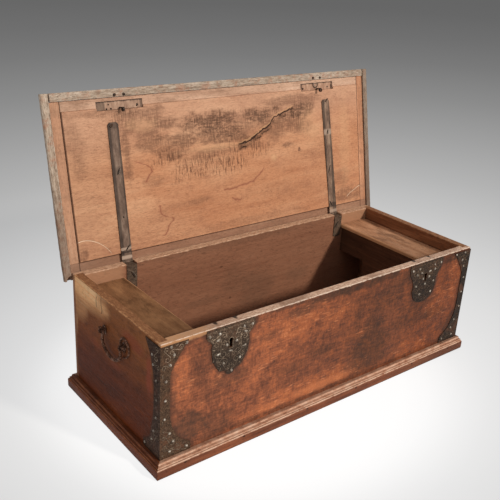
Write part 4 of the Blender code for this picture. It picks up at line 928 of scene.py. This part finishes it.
leaf_iron = iron_finish("worn_leaf_iron", ((62, 48, 38), (94, 75, 60), (124, 104, 86)), 0.3, 0.35, 0.3, 0.4)
case_iron = iron_finish("lock_iron", ((30, 24, 20), (58, 46, 38), (88, 74, 62)), 0.4)
handle_iron = iron_finish("handle_iron", ((46, 26, 17), (92, 58, 40), (162, 118, 94)), 0.35, 0.35, 0.5, 0.4)
for side, dark, fade in (("left", (1.0, 0.97, 0.94), 0.92), ("right", (0.77, 0.70, 0.64), 0.50)):
    ground = [dimmed(tone, dark) for tone in ((36, 27, 20), (74, 58, 45), (112, 94, 77))]
    dress(iron_finish(f"pierced_iron_{side}", ground, 0.35, 0.55, shade=0.55), f"escutcheon_{side}")
    ground = [dimmed(tone, fade) for tone in ((46, 30, 19), (82, 57, 38), (118, 90, 66))]
    dress(iron_finish(f"corner_iron_{side}", ground, 0.45, 0.55, flank=True), f"corner_iron_{side}")
    dress(leaf_iron, f"hinge_pin_{side}", f"hinge_leaf_{side}")
    dress(case_iron, f"lock_case_{side}", f"lock_bolt_{side}", f"lock_staple_{side}")
    dress(handle_iron, f"handle_bail_{side}", f"handle_eye_{side}_front", f"handle_eye_{side}_rear")
for node, name, middle, half, tones, light_and_wear_bands in (
    ("hinge_strap_left", "left_strap_iron", -420, 13, ((86, 66, 53), (118, 94, 79), (148, 124, 106)),
     ((14, 7, 0.7), (30, 4, -0.8), (40, 5, 0.6), (404, 16, -0.5), (272, 18, -0.4))),
    ("hinge_strap_right", "right_strap_iron", 417, 13, ((90, 68, 54), (130, 102, 83), (170, 140, 116)),
     ((12, 8, 0.5), (34, 14, -0.7), (100, 20, -0.2), (298, 14, 0.5))),
    ("lock_link_plate_left", "left_link_iron", -380, 60, ((136, 104, 84), (172, 136, 112), (200, 166, 140)),
     ((472, 5, -0.8), (443, 4, -0.8))),
    ("lock_link_plate_right", "right_link_iron", 380, 70, ((138, 100, 78), (176, 134, 108), (208, 168, 140)),
     ((472, 5, -0.85), (443, 4, -0.7))),
):
    dress(strap_finish(name, middle, half, tones, light_and_wear_bands), node)
print("ironwork dressed")

# %% [markdown]
# ## Small forged work
#
# Nail heads, raised scrollwork and keyhole rims stand out from the irons by a millimetre or two. They could
# be drawn with bump alone, but then they would cast no shadow. Each is a small closed shell shaped on a
# flat sheet, and the shells on one iron are gathered into one piece that rides on the same body.

# %% Shape closed shells on a flat sheet
import bmesh

STRIP = ((-0.5, -0.3), (-0.38, 0.6), (0.0, 1.0), (0.38, 0.6), (0.5, -0.3))
HEAD = ((1.0, -0.2), (1.0, 0.15), (0.86, 0.58), (0.6, 0.86), (0.28, 0.98))


class Sheet:
    """A flat face to work on: millimetres along it, up it and out from it."""

    def __init__(self, origin, along, upward):
        self.origin, self.along, self.upward = Vector(origin), Vector(along), Vector(upward)
        self.outward = self.along.cross(self.upward)

    def at(self, along, up, out):
        moved = self.along * float(along) + self.upward * float(up) + self.outward * float(out)
        return self.origin + moved * MM


def stitch(rings, sides, looped=False):
    """Faces that join rings of points into a tube, closed at its ends unless it loops."""
    faces = []
    for ring in range(rings if looped else rings - 1):
        here, after = ring * sides, (ring + 1) % rings * sides
        for side in range(sides):
            beside = (side + 1) % sides
            faces.append((here + side, here + beside, after + beside, after + side))
    if not looped:
        faces += [tuple(range(sides)), tuple((rings - 1) * sides + side for side in range(sides))]
    return faces


def strip(sheet, path, width, height, looped=False, slim=0.45):
    """A half-round strip of metal along a path, thinner towards its ends."""
    path = np.array(path, float)
    step = np.roll(path, -1, 0) - np.roll(path, 1, 0) if looped else np.gradient(path, axis=0)
    step /= np.linalg.norm(step, axis=1)[:, None]
    bulge = np.clip(np.sin(np.linspace(0, math.pi, len(path))), 0, 1) ** 0.5
    full = np.ones(len(path)) if looped else slim + (1 - slim) * bulge
    points = []
    for place, way, size in zip(path, step, full):
        for across, up in STRIP:
            reach = across * width * size
            points.append(sheet.at(place[0] - way[1] * reach, place[1] + way[0] * reach, up * height * size))
    return points, stitch(len(path), len(STRIP), looped)


def head(sheet, along, up, radius, height, length=1.0, turn=0.0):
    """A hammered nail head, a little uneven, and longer than wide where length says so."""
    sides = 12
    points = []
    for reach, rise in HEAD:
        for side in range(sides):
            angle = math.tau * side / sides
            uneven = 1 + 0.07 * math.sin(3 * angle + along) + 0.05 * math.sin(2 * angle + up)
            uneven = reach * radius * uneven
            a, b = math.cos(angle) * uneven * length, math.sin(angle) * uneven
            points.append(sheet.at(along + a * math.cos(turn) - b * math.sin(turn),
                                   up + a * math.sin(turn) + b * math.cos(turn), rise * height))
    return points, stitch(len(HEAD), sides)


def forge(name, shells, body, material):
    """One piece made of closed shells, riding on a body."""
    shape = bmesh.new()
    for points, faces in shells:
        corners = [shape.verts.new(point) for point in points]
        for face in faces:
            shape.faces.new([corners[corner] for corner in face])
    bmesh.ops.recalc_face_normals(shape, faces=shape.faces)
    mesh = bpy.data.meshes.new(name)
    shape.to_mesh(mesh)
    shape.free()
    mesh.shade_smooth()
    mesh.set_sharp_from_angle(angle=math.radians(55))
    mesh.materials.append(material)
    made = bpy.data.objects.new(name, mesh)
    bpy.context.scene.collection.objects.link(made)
    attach(made, body)


IRON_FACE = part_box("escutcheon_left")[0].y
X_AXIS, Y_AXIS, Z_AXIS = Vector((1, 0, 0)), Vector((0, 1, 0)), Vector((0, 0, 1))
front_sheet = Sheet((0, IRON_FACE, 0), X_AXIS, Z_AXIS)
left_sheet = Sheet((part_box("corner_iron_left")[0].x, 0, 0), -Y_AXIS, Z_AXIS)
right_sheet = Sheet((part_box("corner_iron_right")[1].x, 0, 0), Y_AXIS, Z_AXIS)
SIDES = (("left", 1, left_sheet), ("right", -1, right_sheet))
# Pale iron for the nail heads and the glints: rubbed iron and painted highlight.
bright_iron = iron_finish("rubbed_head_and_glint_iron", ((92, 80, 70), (150, 137, 123), (214, 203, 188)),
                          0.1, 0.4, 0.55, 0.4)
print("sheets at", round(IRON_FACE, 4), "m for the front irons")

# %% [markdown]
# ## Scrollwork
#
# The shields and the flared ends of the corner irons are chased with tendrils. A tendril here is a pair of
# spirals that meet along their common tangent, so the strip runs out of one curl and into the next without
# a kink. Each pair is listed once, for one half, and mirrored about the middle.

# %% Draw the scrolls
def curl(centre, radius, start, hand, turns, steps=20):
    """A spiral from its rim inwards, turning with or against the clock."""
    share = np.linspace(0, 1, steps)
    angle = start + hand * math.tau * turns * share
    reach = radius * (1 - 0.80 * share)
    return np.stack([centre[0] + reach * np.cos(angle), centre[1] + reach * np.sin(angle)], 1)


def tendril(first, second, hand, turns=1.25):
    """Two spirals joined along their crossing tangent; each is its middle and its radius."""
    (ax, ay, ar), (bx, by, br) = first, second
    span = math.hypot(bx - ax, by - ay)
    lean = math.acos(min(1.0, (ar + br) / span))
    start = math.atan2(by - ay, bx - ax) + hand * lean
    inward = curl((ax, ay), ar, start, hand, turns)
    outward = curl((bx, by), br, start + math.pi, hand, turns)
    return np.concatenate([inward[::-1], outward])


SHIELD_TENDRILS = (
    ((60, 357, 8.5), (25, 355, 9.5), 1), ((44, 333, 12), (23, 300, 10.5), -1),
    ((42, 302, 9.5), (19, 275, 10), 1), ((35, 271, 8), (8, 256, 7), -1),
    ((41, 352, 5), (22, 334, 8), -1), ((10, 292, 6), (40, 284, 5.5), 1),
)
SHIELD_LEAVES = (
    (14, 345, 20, 362), (52, 340, 62, 346), (50, 318, 60, 322), (6, 300, 4, 282), (30, 262, 34, 252),
    (52, 292, 57, 284), (30, 318, 24, 312), (68, 372, 74, 366), (4, 268, 3, 258), (33, 345, 30, 338),
)
IRON_TENDRILS = (
    ((58, 364, 8), (34, 354, 8), 1), ((17, 366, 7), (20, 338, 9.5), -1), ((11, 316, 7.5), (24, 322, 6), 1),
    ((14, 134, 7), (27, 114, 8.5), -1), ((11, 108, 6.5), (38, 90, 9.5), 1), ((16, 78, 9), (56, 62, 8), -1),
    ((37, 58, 7), (78, 58, 8), 1),
)
IRON_LEAVES = (
    (44, 368, 50, 374), (42, 342, 36, 336), (6, 300, 8, 286), (6, 150, 8, 164), (48, 78, 58, 74),
    (66, 70, 74, 74), (26, 96, 30, 102), (6, 60, 10, 52), (70, 366, 76, 372),
)


def chase(sheet, middle, tendrils, leaves, mirrored, width=2.3, height=0.9):
    """The strips of one pattern; mirrored says for which hands it is drawn."""
    shells = []
    for hand in mirrored:
        for first, second, turn in tendrils:
            path = tendril(first, second, turn)
            path[:, 0] = middle + hand * path[:, 0]
            shells.append(strip(sheet, path, width, height))
        for start_x, start_up, end_x, end_up in leaves:
            ends = np.linspace((middle + hand * start_x, start_up), (middle + hand * end_x, end_up), 6)
            shells.append(strip(sheet, ends, width * 1.3, height * 0.9, slim=0.3))
    return shells


def keyhole_rim(x):
    """The path round a keyhole, a little outside it."""
    turn = np.radians(np.linspace(-50, 230, 16))
    crown = [(x + 8.0 * math.cos(a), 334.8 + 8.0 * math.sin(a)) for a in turn]
    slot = ((-6.2, 326), (-6.2, 318), (-6.0, 311.5), (0, 310.8), (6.0, 311.5), (6.2, 318), (6.2, 326))
    return crown + [(x + aside, up) for aside, up in slot]


FLANK_TENDRILS = [pair for pair in IRON_TENDRILS if max(pair[0][0], pair[1][0]) < 50]
for (side, hand, flank), middle, dark in zip(SIDES, KEYHOLES, ((1.0, 0.98, 0.96), (0.72, 0.66, 0.60))):
    tones = [dimmed(tone, dark) for tone in ((70, 56, 45), (126, 108, 90), (184, 164, 142))]
    raised = iron_finish(f"raised_iron_{side}", tones, 0.3, 0.5, shade=0.45)
    shells = chase(front_sheet, middle, SHIELD_TENDRILS, SHIELD_LEAVES, (1, -1))
    for level, thick in ((373.2, 1.5), (370.2, 0.9)):
        border = np.linspace((middle - 73, level), (middle + 73, level), 30)
        shells.append(strip(front_sheet, border, thick, 0.8))
    shells.append(strip(front_sheet, keyhole_rim(middle), 2.2, 1.3, looped=True))
    forge(f"scrollwork_{side}", shells, "carcass", raised)
    shells = chase(front_sheet, -hand * CORNER_X, IRON_TENDRILS, IRON_LEAVES, (hand,))
    shells += chase(flank, hand * CORNER_Y, FLANK_TENDRILS, (), (-hand,))
    forge(f"corner_scrollwork_{side}", shells, "carcass", raised)
print("scrollwork chased on two shields and two corner irons")

# %% [markdown]
# ## Nails
#
# Domed nails hold the shields and corner irons, and they are the brightest points on the front; their pale
# iron is rubbed and partly a painted highlight. Each head is a hammered dome, a little uneven. The long ones
# on the shields are nails bent over.

# %% Drive the nails
SHIELD_NAILS = {
    "left": ((-458, 363), (-427, 363), (-349, 363), (-322, 363), (-373, 329), (-403, 324), (-359, 274),
             (-412, 272), (-385, 243)),
    "right": ((314, 362), (345, 362), (418, 362), (448, 363), (422, 346), (337, 343), (397, 325),
              (368, 323), (381, 303), (421, 305), (338, 303), (414, 269), (360, 271)),
}
BENT_NAILS = {"left": ((-431, 346, 5), (-345, 348, -20), (-346, 306, 8), (-429, 304, 13), (-390, 303, -8)),
              "right": ((398, 344, 15), (360, 345, -12))}
CORNER_NAILS = (
    (30, 370), (75, 370), (39, 346), (28, 320), (16, 277), (15, 222), (13, 167), (28, 119), (39, 91),
    (81, 59), (29, 63),
)
FLANK_NAILS = ((38, 341), (33, 315), (19, 275), (17, 220), (19, 166), (29, 121), (39, 90), (74, 59))

for side, hand, flank in SIDES:
    shells = [head(front_sheet, x, z, 4.0, 3.0) for x, z in SHIELD_NAILS[side]]
    shells += [head(front_sheet, x, z, 2.9, 2.6, 2.3, math.radians(turn)) for x, z, turn in BENT_NAILS[side]]
    shells += [head(front_sheet, hand * (reach - CORNER_X), z, 3.8, 2.9) for reach, z in CORNER_NAILS]
    shells += [head(flank, hand * (CORNER_Y - reach), z, 3.5, 2.7) for reach, z in FLANK_NAILS]
    forge(f"nails_{side}", shells, "carcass", bright_iron)
print("nails driven in the shields and corner irons")

# %% [markdown]
# ## Curls round the handle eyes
#
# The smith drew a strap out thin, laid it on the board and curled it once round the front eye. A spiral
# whose reach is read from a short table of angles gives that shape. It lies low enough for the bail to
# swing over it.

# %% Curl a strap round each front handle eye
CURL_ANGLES = (-103, -80, -50, 0, 60, 120, 180, 240, 300)
CURL_REACHES = (38.0, 32.0, 28.0, 26.0, 24.5, 22.0, 19.0, 16.5, 15.0)

turns = np.linspace(CURL_ANGLES[0], CURL_ANGLES[-1], 48)
reach = np.interp(turns, CURL_ANGLES, CURL_REACHES)
turns = np.radians(turns)
for side, hand, flank in SIDES:
    low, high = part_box(f"handle_eye_{side}_front")
    along, up = -hand * (low.y + high.y) / 2 / MM, (low.z + high.z) / 2 / MM
    path = np.stack([along + hand * reach * np.cos(turns), up + reach * np.sin(turns)], 1)
    forge(f"handle_curl_{side}", [strip(flank, path, 7.0, 4.2, slim=0.3)], "carcass", handle_iron)
print("curls laid round the front eyes, reaching", CURL_REACHES[0], "mm")

# %% [markdown]
# ## Nails on the lid
#
# The straps were nailed through and the nails bent over along the grain, so most show as short slanting
# bars, in dark iron that is partly painted shade for the shadows they cast. Some have a pale edge: a painted
# highlight, laid as a thin strip of bright iron in the glint pieces. The right link plate carries a riveted
# ring, with a painted highlight ring inside it.

# %% Nail the straps and the link plates
def across_lid(outward):
    """A sheet on the lid's inner side, at a height in millimetres."""
    return Sheet(on_lid(0, 0, outward), X_AXIS, LID_FORWARD)


def run(sheet, start, end, width, height, slim=0.5):
    """A short straight strip, thinner at its ends."""
    return strip(sheet, np.linspace(start, end, 7), width, height, slim=slim)


def ring(middle, forward, radius, sides=20):
    turn = np.linspace(0, math.tau, sides, endpoint=False)
    return [(middle + radius * math.cos(a), forward + radius * math.sin(a)) for a in turn]


strap_face, plate_face, lip_face = across_lid(5.8), across_lid(-1.5), across_lid(6.0)
# Dark iron for the bent nails: partly painted shade, standing for the shadows the nails cast.
dark_nail = iron_finish("dark_nail_iron", ((24, 17, 13), (44, 32, 25), (86, 66, 52)), 0.3)
forge("strap_nails_left", [
    head(strap_face, -427, 403, 4.5, 1.6, 1.5, 0.6),
    run(strap_face, (-424, 262), (-416, 279), 5, 1.6),
    head(strap_face, -420, 135, 2.6, 1.4),
    run(strap_face, (-424, 34), (-410, 50), 4.5, 1.6),
    head(plate_face, -432, 450, 2.8, 1.3),
    head(plate_face, -425, 462, 2.6, 1.3),
    head(plate_face, -418, 450, 2.8, 1.3),
    head(plate_face, -333, 455, 3.2, 1.3, 1.4, 1.2),
    head(lip_face, -406, 488.4, 4.0, 1.5, 1.35, 0.5),
    head(lip_face, -376, 488.0, 3.8, 1.5, 1.3, -0.4),
], "lid", dark_nail)
forge("strap_nails_right", [
    run(strap_face, (410, 403), (424, 414), 5, 1.6),
    run(strap_face, (412, 290), (418, 306), 5, 1.6),
    run(strap_face, (412, 152), (422, 180), 4.2, 1.6),
    run(strap_face, (424, 30), (411, 50), 5, 1.6),
    strip(plate_face, ring(373, 466, 11), 3.4, 1.3, looped=True),
    head(plate_face, 315, 455, 3.6, 1.3),
    head(plate_face, 430, 455, 3.0, 1.3),
    run(plate_face, (447, 448), (447, 464), 4.0, 1.3),
    head(lip_face, 359, 488.4, 4.0, 1.5, 1.35, 0.4),
    head(lip_face, 391, 488.0, 3.8, 1.5, 1.3, -0.4),
], "lid", dark_nail)
forge("strap_glints", [
    run(strap_face, (-420, 262), (-412, 279), 2.0, 1.5),
    run(strap_face, (417, 289), (423, 305), 2.4, 1.5),
    run(strap_face, (-418, 33), (-404, 49), 2.0, 1.5),
    strip(plate_face, ring(373, 466, 6), 2.2, 1.2, looped=True),
], "lid", bright_iron)
leaf_sheet = Sheet((0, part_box("hinge_leaf_left")[0].y, 0), X_AXIS, Z_AXIS)
forge("leaf_nails", [
    run(leaf_sheet, (-427, 358), (-413, 335), 5, 1.6),
    run(leaf_sheet, (428, 358), (414, 338), 5, 1.6),
    head(leaf_sheet, -420, 305, 3.4, 1.6),
    head(leaf_sheet, 420, 305, 3.4, 1.6),
], "carcass", dark_nail)
forge("leaf_glints", [run(leaf_sheet, (-422, 359), (-408, 336), 2.0, 1.5)], "carcass", bright_iron)
print("straps, link plates and leaves nailed")
